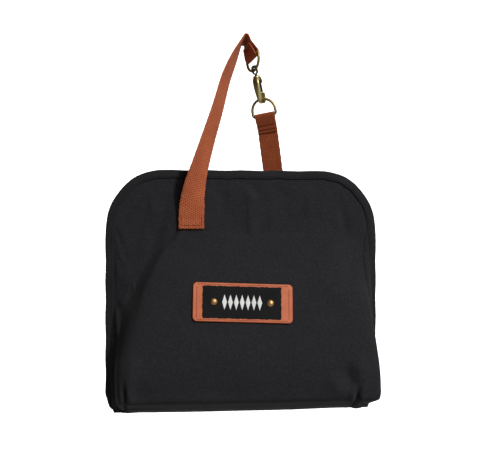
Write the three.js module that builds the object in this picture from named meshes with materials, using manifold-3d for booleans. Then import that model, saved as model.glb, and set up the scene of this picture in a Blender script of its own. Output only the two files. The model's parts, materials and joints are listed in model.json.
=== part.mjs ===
// A baby changing bag: two black fabric halves closed by a zip round three sides and hinged along the
// bottom, with a webbing handle that runs from the front face to a swivel clasp on a D-ring at the back.
// Millimetres. In bag coordinates X runs across the bag, Y from its front (-) to its back (+) and Z up,
// with Y = 0 in the plane of the zip and Z = 0 at the bottom fold. The finished model is shifted so
// that its origin is the underside of the handle's top fold, where a peg or a finger holds the bag.
import * as THREE from "three";
import { mergeVertices } from "three/addons/utils/BufferGeometryUtils.js";
import Module from "manifold-3d";

// ---------------------------------------------------------------- driving dimensions
const GAP = 0.3; // left between pieces that touch
const BAG_WIDTH = 270;
const BAG_HEIGHT = 237.5;
const CORNER_X = 55; // half-axes of the elliptical top corners
const CORNER_Z = 61;
const CORNER_STEPS = 9;
const FOOT_RADIUS = 8; // bottom corners of the flat panels

const BINDING_BAND = 8; // how far the edge binding reaches in over the panels
const BINDING_SKIN = 1;
const BINDING_INNER = 5.4; // distance of the binding's near face from the zip plane
const BINDING_OUTER = 9.6;
const BINDING_FOOT = 9; // height where the binding starts
const EDGE_INSET = 1.2; // panel edge inside the binding's fold
const PANEL_NEAR = 7.6; // the panel's flange inside the binding
const PANEL_FAR = 8.3;
const LINING_NEAR = 6.7;
const LINING_FAR = 7.3;

const CLOTH = 1.2; // outer fabric with its backing
const LINING = 0.8;
const LINING_INSET = CLOTH + GAP;
// The front half's pocket: height, depth in front of the zip plane, half-width of its flat face.
const POCKET = [
  [0, 9.2, 116],
  [14, 48, 117],
  [19, 50.5, 118],
  [49, 48, 117],
  [79, 41.5, 113],
  [129, 29.5, 102],
  [155, 20, 92],
  [178, 14, 80],
  [210, 10.3, 66],
  [228, 9.6, 60],
];
const POCKET_LEVELS = [0, 14, 19, 49, 79, 129, 155, 178, 191, 203, 212, 220, 225];
const WALL_START = 8.6; // where the pocket's wall leaves the flange
const WALL_STEPS = 5;
const WALL_FLARE = 3; // how far the deepest side walls swell outward
const BASE_SHIFT = 0.7; // rise of the inner base for each millimetre of wall

const REAR_DEPTH = 12; // outer face of the rear cover
const REAR_BAND = 9; // edge of the rear cover's raised field

const ZIP_FOOT = 24; // the zip's lower ends
const TAPE = { out: 5, in: 5.8, near: 0.9, far: 5.1 };
const COIL = { out: 3, in: 4.7, near: 0.8, far: 2.6 };

const RIVET_SPACING = 55;
const INNER_POCKET = { side: 116, foot: 4, top: 123, elastic: { height: 8, proud: 0.4 } };
const GUSSET = { front: -6.4, back: -0.6, low: 0.8, high: 1.8 }; // its edges in depth and in height

const RIVET_RADIUS = 3.6;
const SHANK_RADIUS = 1.2;
const LABEL_X = -3.1;
const LABEL_HEIGHT = 107.8; // centre of the label above the bottom fold
const LABEL_TURN = THREE.MathUtils.degToRad(-2.1);
const PATCH = { width: 97, height: 38, thick: 1.6, corner: 4 };
const WOVEN = { width: 78, height: 32, thick: 0.5, corner: 0.8 };

const STRAP_WIDTH = 25;
const STRAP_THICK = 1.4;
const STRAP_END_X = -51.5;
const STRAP_FOOT = 179.5;
const STRAP_LAP = 199.8; // top of the doubled, sewn end
const TAB_WIDTH = 20;
const TAB_THICK = 1.4;

const WIRE = 1.4; // radius of the D-rings' wire
// The D-rings on the wire's centre line: half the width, straight leg, corner. The upper one is shallower.
const REAR_RING = { half: 11.7, leg: 5.5, fillet: 2.5 };
const UPPER_RING = { half: 11.7, leg: 3.2, fillet: 2.5 };
const RING_SIDES = 8;

// The handle's places, with their heights taken from the top of the bag.
const APEX = new THREE.Vector3(2.7, 0, BAG_HEIGHT + 129.5); // centre of the top fold
const APEX_RADIUS = 2.2;
const UPPER_BAR = new THREE.Vector3(10.6, 0, BAG_HEIGHT + 114.5);
const REAR_BAR = new THREE.Vector3(23.8, 4, BAG_HEIGHT + 55.8);
const TAB_ROOT = new THREE.Vector3(33.6, 13.4, BAG_HEIGHT + 1.5);

// Directions, each made exact where it is used.
const FOLD_LINE = new THREE.Vector3(-0.04, 0.95, -0.3).normalize();
const UPPER_BAR_WAY = new THREE.Vector3(0.355, -0.88, 0.312).normalize();
const REAR_BAR_WAY = new THREE.Vector3(0.927, -0.337, 0.163).normalize();
const HOOK_TURN = THREE.MathUtils.degToRad(27); // the clasp's spine, turned left of straight ahead

const CLOTH_BLACK = { color: 0x27272a, roughness: 0.86, metalness: 0 };
const BINDING_BLACK = { color: 0x222225, roughness: 0.8, metalness: 0 };
const LINING_GREY = { color: 0x8d9094, roughness: 0.75, metalness: 0 };
const PAD_GREY = { color: 0xc9cbcc, roughness: 0.6, metalness: 0 };
const WEBBING_TAN = { color: 0x8e4a2d, roughness: 0.85, metalness: 0 };
const LEATHER_TAN = { color: 0xb9693f, roughness: 0.6, metalness: 0 };
const WOVEN_BLACK = { color: 0x141415, roughness: 0.7, metalness: 0 };
const ZIP_BLACK = { color: 0x1a1a1c, roughness: 0.5, metalness: 0 };
const ANTIQUE_BRASS = { color: 0x8a7a45, roughness: 0.35, metalness: 1 };
const SPRING_STEEL = { color: 0x9a9a9c, roughness: 0.3, metalness: 1 };
const ELASTIC_BLACK = { color: 0x2b2b2e, roughness: 0.9, metalness: 0 };

// ---------------------------------------------------------------- solids
const wasm = await Module();
wasm.setup();

/** A closed geometry as a solid that can be cut and joined. */
function solid(geometry) {
  const bare = geometry.clone();
  bare.deleteAttribute("normal");
  bare.deleteAttribute("uv");
  const merged = mergeVertices(bare, 1e-4);
  return new wasm.Manifold(
    new wasm.Mesh({
      numProp: 3,
      vertProperties: new Float32Array(merged.attributes.position.array),
      triVerts: new Uint32Array(merged.index.array),
    }),
  );
}

/** The geometry of a cut or joined solid. */
function geometryOf(body) {
  const mesh = body.getMesh();
  const geometry = new THREE.BufferGeometry();
  geometry.setAttribute("position", new THREE.BufferAttribute(mesh.vertProperties, 3));
  geometry.setIndex(new THREE.BufferAttribute(mesh.triVerts, 1));
  return geometry;
}

/** Skins a solid through rings of points with equal counts; its ends are capped unless it closes. */
function loft(rings, closed = false) {
  const count = rings[0].length;
  const spans = closed ? rings.length : rings.length - 1;
  const triangles = [];
  for (let i = 0; i < spans; i++) {
    const here = i * count;
    const next = ((i + 1) % rings.length) * count;
    for (let j = 0; j < count; j++) {
      const k = (j + 1) % count;
      triangles.push([here + j, here + k, next + k], [here + j, next + k, next + j]);
    }
  }
  if (!closed) {
    const last = (rings.length - 1) * count;
    for (let j = 1; j < count - 1; j++) {
      triangles.push([0, j + 1, j], [last, last + j, last + j + 1]);
    }
  }
  const points = rings.flat();
  const volume = triangles.reduce(
    (sum, [a, b, c]) => sum + points[a].dot(points[b].clone().cross(points[c])),
    0,
  );
  const facing = volume > 0 ? triangles : triangles.map(([a, b, c]) => [a, c, b]);
  const geometry = new THREE.BufferGeometry().setFromPoints(points);
  geometry.setIndex(facing.flat());
  return geometry;
}

/** Extrudes a shape drawn in (X, Z) from yFront to yBack. */
function extrudeY(shape, yFront, yBack) {
  const geometry = new THREE.ExtrudeGeometry(shape, { depth: yBack - yFront, bevelEnabled: false });
  return geometry.rotateX(Math.PI / 2).translate(0, yBack, 0);
}

/** A box by its lowest and highest corners. */
function boxBetween(low, high) {
  const size = new THREE.Vector3().subVectors(high, low);
  const middle = new THREE.Vector3().addVectors(low, high).multiplyScalar(0.5);
  return new THREE.BoxGeometry(size.x, size.y, size.z).translate(middle.x, middle.y, middle.z);
}

/** A cylinder between two points. */
function rod(from, to, radius, sides = 12) {
  const along = new THREE.Vector3().subVectors(to, from);
  const turn = new THREE.Quaternion().setFromUnitVectors(
    new THREE.Vector3(0, 1, 0),
    along.clone().normalize(),
  );
  const geometry = new THREE.CylinderGeometry(radius, radius, along.length(), sides);
  const middle = new THREE.Vector3().addVectors(from, to).multiplyScalar(0.5);
  return geometry.applyQuaternion(turn).translate(middle.x, middle.y, middle.z);
}

/** A rounded rectangle about the origin, or about (0, middle). */
function roundedRectangle(width, height, corner, middle = 0) {
  const x = width / 2;
  const y = height / 2;
  const shape = new THREE.Shape();
  shape.absarc(x - corner, middle + y - corner, corner, 0, Math.PI / 2);
  shape.absarc(-x + corner, middle + y - corner, corner, Math.PI / 2, Math.PI);
  shape.absarc(-x + corner, middle - y + corner, corner, Math.PI, 1.5 * Math.PI);
  shape.absarc(x - corner, middle - y + corner, corner, 1.5 * Math.PI, 2 * Math.PI);
  return shape;
}

const bag = new THREE.Group();

/** Adds a named piece to the bag. */
function piece(name, geometry, finish, matrix = null) {
  const mesh = new THREE.Mesh(geometry, new THREE.MeshStandardMaterial(finish));
  mesh.name = name;
  if (matrix) {
    mesh.applyMatrix4(matrix);
  }
  bag.add(mesh);
}

// ---------------------------------------------------------------- the bag's outline
/** Half the bag's width at a height, inset from its edge. */
function halfWidthAt(z, inset) {
  const rise = z - (BAG_HEIGHT - CORNER_Z);
  if (rise <= 0) {
    return BAG_WIDTH / 2 - inset;
  }
  const part = Math.min(rise / (CORNER_Z - inset), 1);
  return BAG_WIDTH / 2 - CORNER_X + (CORNER_X - inset) * Math.sqrt(1 - part * part);
}

/** The outline from its left foot over the top to its right foot, inset from the edge. */
function arch(inset, foot) {
  const reach = BAG_WIDTH / 2 - CORNER_X;
  const spring = BAG_HEIGHT - CORNER_Z;
  const right = [new THREE.Vector2(BAG_WIDTH / 2 - inset, foot)];
  for (let i = 0; i <= CORNER_STEPS; i++) {
    const angle = (i / CORNER_STEPS) * (Math.PI / 2);
    const x = reach + (CORNER_X - inset) * Math.cos(angle);
    right.push(new THREE.Vector2(x, spring + (CORNER_Z - inset) * Math.sin(angle)));
  }
  const left = right.map((p) => new THREE.Vector2(-p.x, p.y));
  return [...left, ...right.reverse()];
}

/** A band that follows the outline, between two insets. */
function bandShape(outInset, inInset, foot) {
  return new THREE.Shape([...arch(outInset, foot), ...arch(inInset, foot).reverse()]);
}

/** A whole panel inside the outline, with rounded bottom corners. */
function panelShape(inset, foot) {
  const side = BAG_WIDTH / 2 - inset;
  const shape = new THREE.Shape(arch(inset, foot + FOOT_RADIUS));
  shape.absarc(side - FOOT_RADIUS, foot + FOOT_RADIUS, FOOT_RADIUS, 0, -Math.PI / 2, true);
  shape.absarc(-side + FOOT_RADIUS, foot + FOOT_RADIUS, FOOT_RADIUS, -Math.PI / 2, -Math.PI, true);
  return shape;
}

// ---------------------------------------------------------------- the front half's pocket
/** Column 1 (depth) or 2 (half-width of the flat face) of the pocket at a height. */
function pocketAt(z, column) {
  const height = THREE.MathUtils.clamp(z, 0, POCKET[POCKET.length - 1][0]);
  const i = Math.min(POCKET.findIndex((row) => row[0] >= height) || 1, POCKET.length - 1);
  const part = (height - POCKET[i - 1][0]) / (POCKET[i][0] - POCKET[i - 1][0]);
  return THREE.MathUtils.lerp(POCKET[i - 1][column], POCKET[i][column], part);
}

/** The pocket's outline at one height, inset by a wall, from yBack forward and round. */
function pocketRing(z, inset, yBack) {
  const depth = pocketAt(z - inset * BASE_SHIFT, 1) - inset;
  const side = halfWidthAt(z, BINDING_BAND + 1) - inset;
  const face = Math.min(pocketAt(z, 2), side - 2);
  const start = Math.min(WALL_START, depth - 0.2);
  const right = [new THREE.Vector3(side, yBack, z)];
  for (let i = 0; i <= WALL_STEPS; i++) {
    const angle = (i / WALL_STEPS) * (Math.PI / 2);
    const swell = WALL_FLARE * (depth / POCKET[2][1]) ** 2 * Math.sin(2 * angle);
    const x = face + (side - face) * Math.cos(angle) + swell;
    right.push(new THREE.Vector3(x, -start - (depth - start) * Math.sin(angle), z));
  }
  const left = right.map((p) => new THREE.Vector3(-p.x, p.y, p.z));
  return [...right, ...left.reverse()];
}

/** The pocket as a solid block, inset by a wall and open backwards to yBack. */
function pocketBlock(inset, yBack) {
  const top = BAG_HEIGHT - BINDING_BAND - 1 - inset;
  const levels = POCKET_LEVELS.map((z) => z + inset * BASE_SHIFT).filter((z) => z < top);
  return solid(loft([...levels, top].map((z) => pocketRing(z, inset, yBack))));
}

/** One fabric shell of the front half: a flat flange with the pocket standing out of it. */
function pocketShell(outInset, wall, flangeFar, flangeNear, edgeInset) {
  const foot = outInset * BASE_SHIFT;
  const flange = solid(extrudeY(panelShape(edgeInset, foot), -flangeFar, -flangeNear));
  const outer = pocketBlock(outInset, -flangeNear);
  const inner = pocketBlock(outInset + wall, -flangeNear + 1);
  return flange.add(outer).subtract(inner);
}

/** Place on the pocket's front face: x across, y up the slope, z outward. */
function onFace(x, z) {
  const step = 1;
  const rise = pocketAt(z, 1) - pocketAt(z + step, 1);
  const up = new THREE.Vector3(0, rise, step).normalize();
  const across = new THREE.Vector3(1, 0, 0);
  const out = new THREE.Vector3().crossVectors(across, up);
  const matrix = new THREE.Matrix4().makeBasis(across, up, out);
  return matrix.setPosition(x, -pocketAt(z, 1), z);
}

// ---------------------------------------------------------------- front half
const labelPlace = onFace(LABEL_X, LABEL_HEIGHT).multiply(new THREE.Matrix4().makeRotationZ(LABEL_TURN));

/** The rivets' shanks, widened by a clearance and stretched between two heights off the face. */
function shanks(clearance, low, high) {
  return [-1, 1].map((side) => {
    const x = (side * RIVET_SPACING) / 2;
    const from = new THREE.Vector3(x, 0, low);
    return rod(from, new THREE.Vector3(x, 0, high), SHANK_RADIUS + clearance);
  });
}

function addFrontHalf() {
  const holes = shanks(GAP, -3, 3).map((geometry) => solid(geometry.applyMatrix4(labelPlace)));
  const panel = pocketShell(0, CLOTH, PANEL_FAR, PANEL_NEAR, EDGE_INSET);
  piece("front_panel", geometryOf(panel.subtract(holes[0]).subtract(holes[1])), CLOTH_BLACK);
  const lining = pocketShell(LINING_INSET, LINING, LINING_FAR, LINING_NEAR, EDGE_INSET);
  piece("front_lining", geometryOf(lining), LINING_GREY);
  addBinding("front_binding", -1);
  addZipHalf("front", -1);
}

/** The U-shaped binding round one half's edge; side is -1 at the front and 1 at the back. */
function addBinding(name, side) {
  const [y0, y1] = [side * BINDING_INNER, side * BINDING_OUTER].sort((a, b) => a - b);
  const whole = solid(extrudeY(bandShape(0, BINDING_BAND, BINDING_FOOT), y0, y1));
  const slotShape = bandShape(BINDING_SKIN, BINDING_BAND + 2, BINDING_FOOT - 2);
  const slot = solid(extrudeY(slotShape, y0 + BINDING_SKIN, y1 - BINDING_SKIN));
  piece(name, geometryOf(whole.subtract(slot)), BINDING_BLACK);
}

/** One side of the zip: its tape, standing across the edge, and its half of the coil. */
function addZipHalf(half, side) {
  for (const [name, band] of [
    [`${half}_zip_tape`, TAPE],
    [`${half}_zip_coil`, COIL],
  ]) {
    const [y0, y1] = [side * band.near, side * band.far].sort((a, b) => a - b);
    piece(name, extrudeY(bandShape(band.out, band.in, ZIP_FOOT), y0, y1), ZIP_BLACK);
  }
}

/** The flat pocket for nappies that closes the lower part of the front half, and its elastic top. */
function addInnerPocket() {
  const { side, foot, top, elastic } = INNER_POCKET;
  const far = -LINING_NEAR + GAP;
  const near = far + LINING;
  const low = new THREE.Vector3(-side, far, foot);
  piece("inner_pocket", boxBetween(low, new THREE.Vector3(side, near, top)), LINING_GREY);
  const hem = new THREE.Vector3(-side, far + 0.1, top + GAP);
  const end = new THREE.Vector3(side, near + elastic.proud, top + GAP + elastic.height);
  piece("pocket_elastic", boxBetween(hem, end), ELASTIC_BLACK);
}

/** The bottom gusset between the two halves, with a sewn tab that closes each end of the zip. */
function addBottomGusset() {
  const reach = BAG_WIDTH / 2 - BINDING_BAND - 3;
  const low = new THREE.Vector3(-reach, GUSSET.front, GUSSET.low);
  piece("bottom_gusset", boxBetween(low, new THREE.Vector3(reach, GUSSET.back, GUSSET.high)), CLOTH_BLACK);
  for (const [name, side] of [
    ["zip_end_tab_left", -1],
    ["zip_end_tab_right", 1],
  ]) {
    const x = side * (BAG_WIDTH / 2 - 4.4);
    const from = new THREE.Vector3(x - 1.4, -5.1, 6);
    piece(name, boxBetween(from, new THREE.Vector3(x + 1.4, 0.5, ZIP_FOOT - GAP)), CLOTH_BLACK);
  }
}

function addLabel() {
  const patch = roundedRectangle(PATCH.width, PATCH.height, PATCH.corner);
  const woven = roundedRectangle(WOVEN.width, WOVEN.height, WOVEN.corner);
  const holes = shanks(GAP, -3, 6).map(solid);
  const flat = { bevelEnabled: false, curveSegments: 4 };
  const patchSolid = solid(new THREE.ExtrudeGeometry(patch, { depth: PATCH.thick, ...flat }));
  const wovenSolid = solid(new THREE.ExtrudeGeometry(woven, { depth: WOVEN.thick, ...flat }));
  const wovenLow = PATCH.thick + 2 * GAP;
  for (const [name, body, low, finish] of [
    ["label_patch", patchSolid, GAP, LEATHER_TAN],
    ["woven_label", wovenSolid, wovenLow, WOVEN_BLACK],
  ]) {
    const cut = body.translate([0, 0, low]).subtract(holes[0]).subtract(holes[1]);
    piece(name, geometryOf(cut), finish, labelPlace);
  }
  const seat = wovenLow + WOVEN.thick + GAP;
  const dome = new THREE.Path();
  dome.moveTo(0, -0.6);
  dome.lineTo(SHANK_RADIUS, -0.6);
  dome.lineTo(SHANK_RADIUS, seat);
  dome.lineTo(RIVET_RADIUS, seat);
  dome.quadraticCurveTo(RIVET_RADIUS - 0.2, seat + 2, 0, seat + 2.1);
  const rivet = new THREE.LatheGeometry(dome.getPoints(5), 20).rotateX(Math.PI / 2);
  for (const [name, side] of [
    ["rivet_left", -1],
    ["rivet_right", 1],
  ]) {
    const placed = rivet.clone().translate((side * RIVET_SPACING) / 2, 0, 0);
    piece(name, geometryOf(solid(placed)), ANTIQUE_BRASS, labelPlace);
  }
}

// ---------------------------------------------------------------- rear half
function addRearHalf() {
  const flange = solid(extrudeY(panelShape(EDGE_INSET, 0), PANEL_NEAR, PANEL_FAR));
  const field = solid(extrudeY(panelShape(REAR_BAND, 1), PANEL_NEAR, REAR_DEPTH));
  const hollowShape = panelShape(REAR_BAND + CLOTH, 1 + CLOTH);
  const hollow = solid(extrudeY(hollowShape, PANEL_NEAR - 1, REAR_DEPTH - CLOTH));
  piece("rear_panel", geometryOf(flange.add(field).subtract(hollow)), CLOTH_BLACK);
  const board = panelShape(REAR_BAND + CLOTH + 1, 4);
  piece("rear_stiffener", extrudeY(board, PANEL_NEAR, REAR_DEPTH - CLOTH - GAP), PAD_GREY);
  piece("rear_lining", extrudeY(panelShape(EDGE_INSET, 1), LINING_NEAR, LINING_FAR), LINING_GREY);
  addBinding("rear_binding", 1);
  addZipHalf("rear", 1);
  const padInset = 14;
  const padFoot = 12;
  piece("changing_pad", extrudeY(panelShape(padInset, padFoot), 2, LINING_NEAR - GAP), PAD_GREY);
}

// ---------------------------------------------------------------- webbing
/** A ribbon along a path; each stop gives its middle, its direction across and its width. */
function ribbon(stops, thick) {
  const rings = stops.map((stop, i) => {
    const before = stops[Math.max(i - 1, 0)].at;
    const after = stops[Math.min(i + 1, stops.length - 1)].at;
    const along = new THREE.Vector3().subVectors(after, before).normalize();
    const out = new THREE.Vector3().crossVectors(along, stop.across).normalize();
    const side = stop.across.clone().multiplyScalar(stop.width / 2);
    const skin = out.multiplyScalar(thick / 2);
    return [
      stop.at.clone().add(side).add(skin),
      stop.at.clone().sub(side).add(skin),
      stop.at.clone().sub(side).sub(skin),
      stop.at.clone().add(side).sub(skin),
    ];
  });
  return loft(rings);
}

/** Stops on a circular turn, from one angle to another, between two unit vectors. */
function turnStops(centre, u, v, radius, from, to, steps, across, width) {
  const stops = [];
  for (let i = 0; i <= steps; i++) {
    const angle = THREE.MathUtils.degToRad(from + ((to - from) * i) / steps);
    const at = centre.clone().addScaledVector(u, radius * Math.cos(angle));
    stops.push({ at: at.addScaledVector(v, radius * Math.sin(angle)), across, width });
  }
  return stops;
}

/** The part of a vector at right angles to a unit vector, made one long. */
function square(vector, to) {
  return vector.clone().addScaledVector(to, -vector.dot(to)).normalize();
}

/** Stops on a smooth curve through knots of position, twist about Z and width. */
function curveStops(knots, count) {
  const middle = new THREE.CatmullRomCurve3(knots.map((k) => k.at), false, "centripetal");
  const across = new THREE.CatmullRomCurve3(knots.map((k) => k.across), false, "centripetal");
  const stops = [];
  for (let i = 0; i <= count; i++) {
    const part = i / count;
    const place = part * (knots.length - 1);
    const low = Math.min(Math.floor(place), knots.length - 2);
    const width = THREE.MathUtils.lerp(knots[low].width, knots[low + 1].width, place - low);
    stops.push({ at: middle.getPoint(part), across: across.getPoint(part).normalize(), width });
  }
  return stops;
}

/** The handle: a doubled end sewn to the front face, a twist up to the top fold, and a looped end. */
function addFrontStrap() {
  const level = new THREE.Vector3(1, 0, 0);
  const face = onFace(STRAP_END_X, STRAP_FOOT);
  const up = new THREE.Vector3().setFromMatrixColumn(face, 1);
  const out = new THREE.Vector3().setFromMatrixColumn(face, 2);
  const foot = new THREE.Vector3().setFromMatrixPosition(face);
  const turn = (STRAP_THICK + GAP) / 2;
  const lap = STRAP_LAP - STRAP_FOOT;
  const onStrap = (rise, off) => foot.clone().addScaledVector(up, rise).addScaledVector(out, off);
  const under = GAP + STRAP_THICK / 2;
  const over = under + 2 * turn;
  const down = up.clone().negate();
  const sewn = [
    { at: onStrap(lap, under), across: level, width: STRAP_WIDTH },
    ...turnStops(onStrap(1, under + turn), out, down, turn, 180, 0, 6, level, STRAP_WIDTH),
    { at: onStrap(lap / 2, over), across: level, width: STRAP_WIDTH },
  ];
  // Middle of the strap (x, y, height over the bag) and its twist in degrees, from the sewn end to the top fold.
  const twist = [
    [-51, -14.2, -36, 3],
    [-50, -15.6, -27, 15],
    [-48, -17.6, -15, 28],
    [-44, -19.4, 1, 42],
    [-35.2, -16, 30, 52],
    [-25.6, -11.5, 60, 58],
    [-17, -6.5, 90, 63],
    [-8.6, -3, 111, 70],
  ].map(([x, y, rise, degrees]) => {
    const angle = THREE.MathUtils.degToRad(degrees);
    const climb = new THREE.Vector3(0.33, 0.1, 0.94).normalize();
    const across = square(new THREE.Vector3(Math.cos(angle), Math.sin(angle), 0), climb);
    const steady = degrees < 10 ? level : across;
    return { at: new THREE.Vector3(x, y, BAG_HEIGHT + rise), across: steady, width: STRAP_WIDTH };
  });
  const upWay = square(new THREE.Vector3(0, 0, 1), FOLD_LINE);
  const rightWay = new THREE.Vector3().crossVectors(FOLD_LINE, upWay).normalize();
  const fold = turnStops(APEX, rightWay, upWay, APEX_RADIUS, 170, 10, 8, FOLD_LINE, STRAP_WIDTH);
  const nearFold = curveStops([...twist, fold[0]], 32);

  const bar = UPPER_BAR_WAY.clone().negate();
  const back = square(new THREE.Vector3().subVectors(APEX, UPPER_BAR), UPPER_BAR_WAY);
  const inward = new THREE.Vector3().crossVectors(UPPER_BAR_WAY, back).normalize();
  const loopRadius = WIRE + GAP + 0.1 + STRAP_THICK / 2;
  const byUpperBar = (rise, off) =>
    UPPER_BAR.clone().addScaledVector(back, rise).addScaledVector(inward, off);
  const outward = inward.clone().negate();
  const below = back.clone().negate();
  const middleAcross = FOLD_LINE.clone().lerp(bar, 0.6).normalize();
  const looped = [
    { at: byUpperBar(9, -1.2), across: middleAcross, width: 22 },
    { at: byUpperBar(5, -1.7), across: bar, width: TAB_WIDTH },
    ...turnStops(UPPER_BAR, outward, below, loopRadius, 0, 180, 8, bar, TAB_WIDTH),
    { at: byUpperBar(4.5, 1.6), across: bar, width: TAB_WIDTH },
    { at: byUpperBar(8, 0.95), across: bar, width: TAB_WIDTH },
  ];
  const stops = [...sewn, ...nearFold.slice(0, -1), ...fold, ...looped];
  piece("front_strap", ribbon(stops, STRAP_THICK), WEBBING_TAN);
}

/** The tab at the back: a sewn foot on the rear cover, then a free loop that holds the ring. */
function addRearTab() {
  const across = REAR_BAR_WAY;
  const lean = (TAB_ROOT.x - REAR_BAR.x) / (TAB_ROOT.z - REAR_BAR.z);
  const level = new THREE.Vector3(1, 0, -lean).normalize(); // across the tab at its foot
  const upWay = square(new THREE.Vector3().subVectors(REAR_BAR, TAB_ROOT), across);
  const out = new THREE.Vector3().crossVectors(across, upWay).normalize(); // towards the front
  const loopRadius = WIRE + GAP + TAB_THICK / 2;
  const byRearBar = (rise, off) =>
    REAR_BAR.clone().addScaledVector(upWay, rise).addScaledVector(out, off);
  const stop = (at) => ({ at, across, width: TAB_WIDTH });
  const backward = out.clone().negate();
  const layer = (TAB_THICK + GAP) / 2;
  const start = byRearBar(-12, -layer);
  const twistStops = [0, 0.25, 0.5, 0.75].map((part) => ({
    at: TAB_ROOT.clone().lerp(start, part),
    across: level.clone().lerp(across, part).normalize(),
    width: TAB_WIDTH,
  }));
  const free = [
    ...twistStops,
    stop(start),
    stop(byRearBar(-8, -layer)),
    stop(byRearBar(-4, -1.8)),
    ...turnStops(REAR_BAR, backward, upWay, loopRadius, 0, 180, 8, across, TAB_WIDTH),
    stop(byRearBar(-4, 1.8)),
    stop(byRearBar(-9, layer)),
    stop(byRearBar(-16.5, layer)),
  ];
  piece("rear_tab", ribbon(free, TAB_THICK), WEBBING_TAN);
  const footLength = 21;
  const footTop = TAB_ROOT.z - 3;
  const footStop = (z) => {
    const x = TAB_ROOT.x + lean * (z - TAB_ROOT.z);
    const at = new THREE.Vector3(x, REAR_DEPTH + GAP + TAB_THICK / 2, z);
    return { at, across: level, width: TAB_WIDTH };
  };
  const sewn = [footStop(footTop), footStop(footTop - footLength)];
  piece("rear_tab_foot", ribbon(sewn, TAB_THICK), WEBBING_TAN);
}

// ---------------------------------------------------------------- rings and clasp
/** A D-ring from its bar's middle, the bar's direction and the way its arc lies. */
function dRing(size, bar, barWay, arcWay) {
  const { half, leg, fillet } = size;
  const outline = new THREE.Path();
  outline.moveTo(0, 0);
  outline.lineTo(half - fillet, 0);
  outline.absarc(half - fillet, fillet, fillet, -Math.PI / 2, 0);
  outline.absarc(0, leg, half, 0, Math.PI);
  outline.absarc(-half + fillet, fillet, fillet, Math.PI, 1.5 * Math.PI);
  outline.closePath();
  const points = outline.getSpacedPoints(44).slice(0, -1);
  const normal = new THREE.Vector3().crossVectors(barWay, arcWay).normalize();
  const rings = points.map((p, i) => {
    const before = points[(i + points.length - 1) % points.length];
    const after = points[(i + 1) % points.length];
    const along = new THREE.Vector2().subVectors(after, before).normalize();
    const centre = bar.clone().addScaledVector(barWay, p.x).addScaledVector(arcWay, p.y);
    const side = barWay.clone().multiplyScalar(along.y).addScaledVector(arcWay, -along.x);
    return Array.from({ length: RING_SIDES }, (_, k) => {
      const angle = (k / RING_SIDES) * 2 * Math.PI;
      const at = centre.clone().addScaledVector(side, WIRE * Math.cos(angle));
      return at.addScaledVector(normal, WIRE * Math.sin(angle));
    });
  });
  return loft(rings, true);
}

const upperArcWay = square(new THREE.Vector3(0, 0, -1), UPPER_BAR_WAY);
const rearArcWay = square(new THREE.Vector3(-0.16, -0.06, 0.985), REAR_BAR_WAY);
const arcTop = (size) => size.leg + size.half; // bar to the middle of the arc
const claspTop = UPPER_BAR.clone().addScaledVector(upperArcWay, arcTop(UPPER_RING));
const claspEnd = REAR_BAR.clone().addScaledVector(rearArcWay, arcTop(REAR_RING));
const claspWay = new THREE.Vector3().subVectors(claspEnd, claspTop).normalize();
const REACH = claspTop.distanceTo(claspEnd); // from one ring's wire to the other's

/** Place on the clasp: origin at the upper wire, y down the clasp. */
function claspPlace(xWay) {
  const x = square(xWay, claspWay);
  const z = new THREE.Vector3().crossVectors(x, claspWay);
  return new THREE.Matrix4().makeBasis(x, claspWay, z).setPosition(claspTop);
}

const gateWay = new THREE.Vector3(Math.sin(HOOK_TURN), Math.cos(HOOK_TURN), 0);
const hookPlace = claspPlace(gateWay);
const eyeHole = square(UPPER_BAR_WAY, claspWay);
const eyePlace = claspPlace(new THREE.Vector3().crossVectors(claspWay, eyeHole));

const NECK_TOP = 5.6; // distances down the clasp from the upper wire
const NECK_FOOT = 9;
const STUD_RADIUS = 1.3;
const HEAD_RADIUS = 2.2;
const PIN = new THREE.Vector2(5.4, 12.6);
const PIN_RADIUS = 0.7;
const HOOK_THICK = 6.2;
const GATE_THICK = 2.8;

/** A shape drawn on the clasp, extruded evenly to both sides with a rounded edge. */
function claspPlate(shape, thick, bevel) {
  const geometry = new THREE.ExtrudeGeometry(shape, {
    depth: thick - 2 * bevel,
    bevelThickness: bevel,
    bevelSize: bevel,
    bevelOffset: -bevel,
    bevelSegments: 2,
    bevelEnabled: bevel > 0,
    curveSegments: 8,
  });
  return solid(geometry.translate(0, 0, -(thick - 2 * bevel) / 2));
}

/** A cylinder on the clasp, down its length. */
function claspTurned(radius, from, to) {
  return solid(rod(new THREE.Vector3(0, from, 0), new THREE.Vector3(0, to, 0), radius, 16));
}

/** A cylinder on the clasp, across it at the gate's pin. */
function acrossPin(radius, half) {
  const from = new THREE.Vector3(PIN.x, PIN.y, -half);
  return solid(rod(from, new THREE.Vector3(PIN.x, PIN.y, half), radius, 12));
}

/** The swivel eye: a slotted block on a headed stud. */
function addClaspEye() {
  const block = roundedRectangle(6.8, 9.6, 3.2, -0.1);
  block.holes.push(roundedRectangle(4, 5.6, 1.9, 0.6));
  const stud = claspTurned(STUD_RADIUS, 4, NECK_FOOT + 0.8);
  const head = claspTurned(HEAD_RADIUS, NECK_FOOT + GAP, NECK_FOOT + 1.5);
  const eye = claspPlate(block, 2.6, 0.4).add(stud).add(head);
  piece("clasp_eye", geometryOf(eye), ANTIQUE_BRASS, eyePlace);
}

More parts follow.
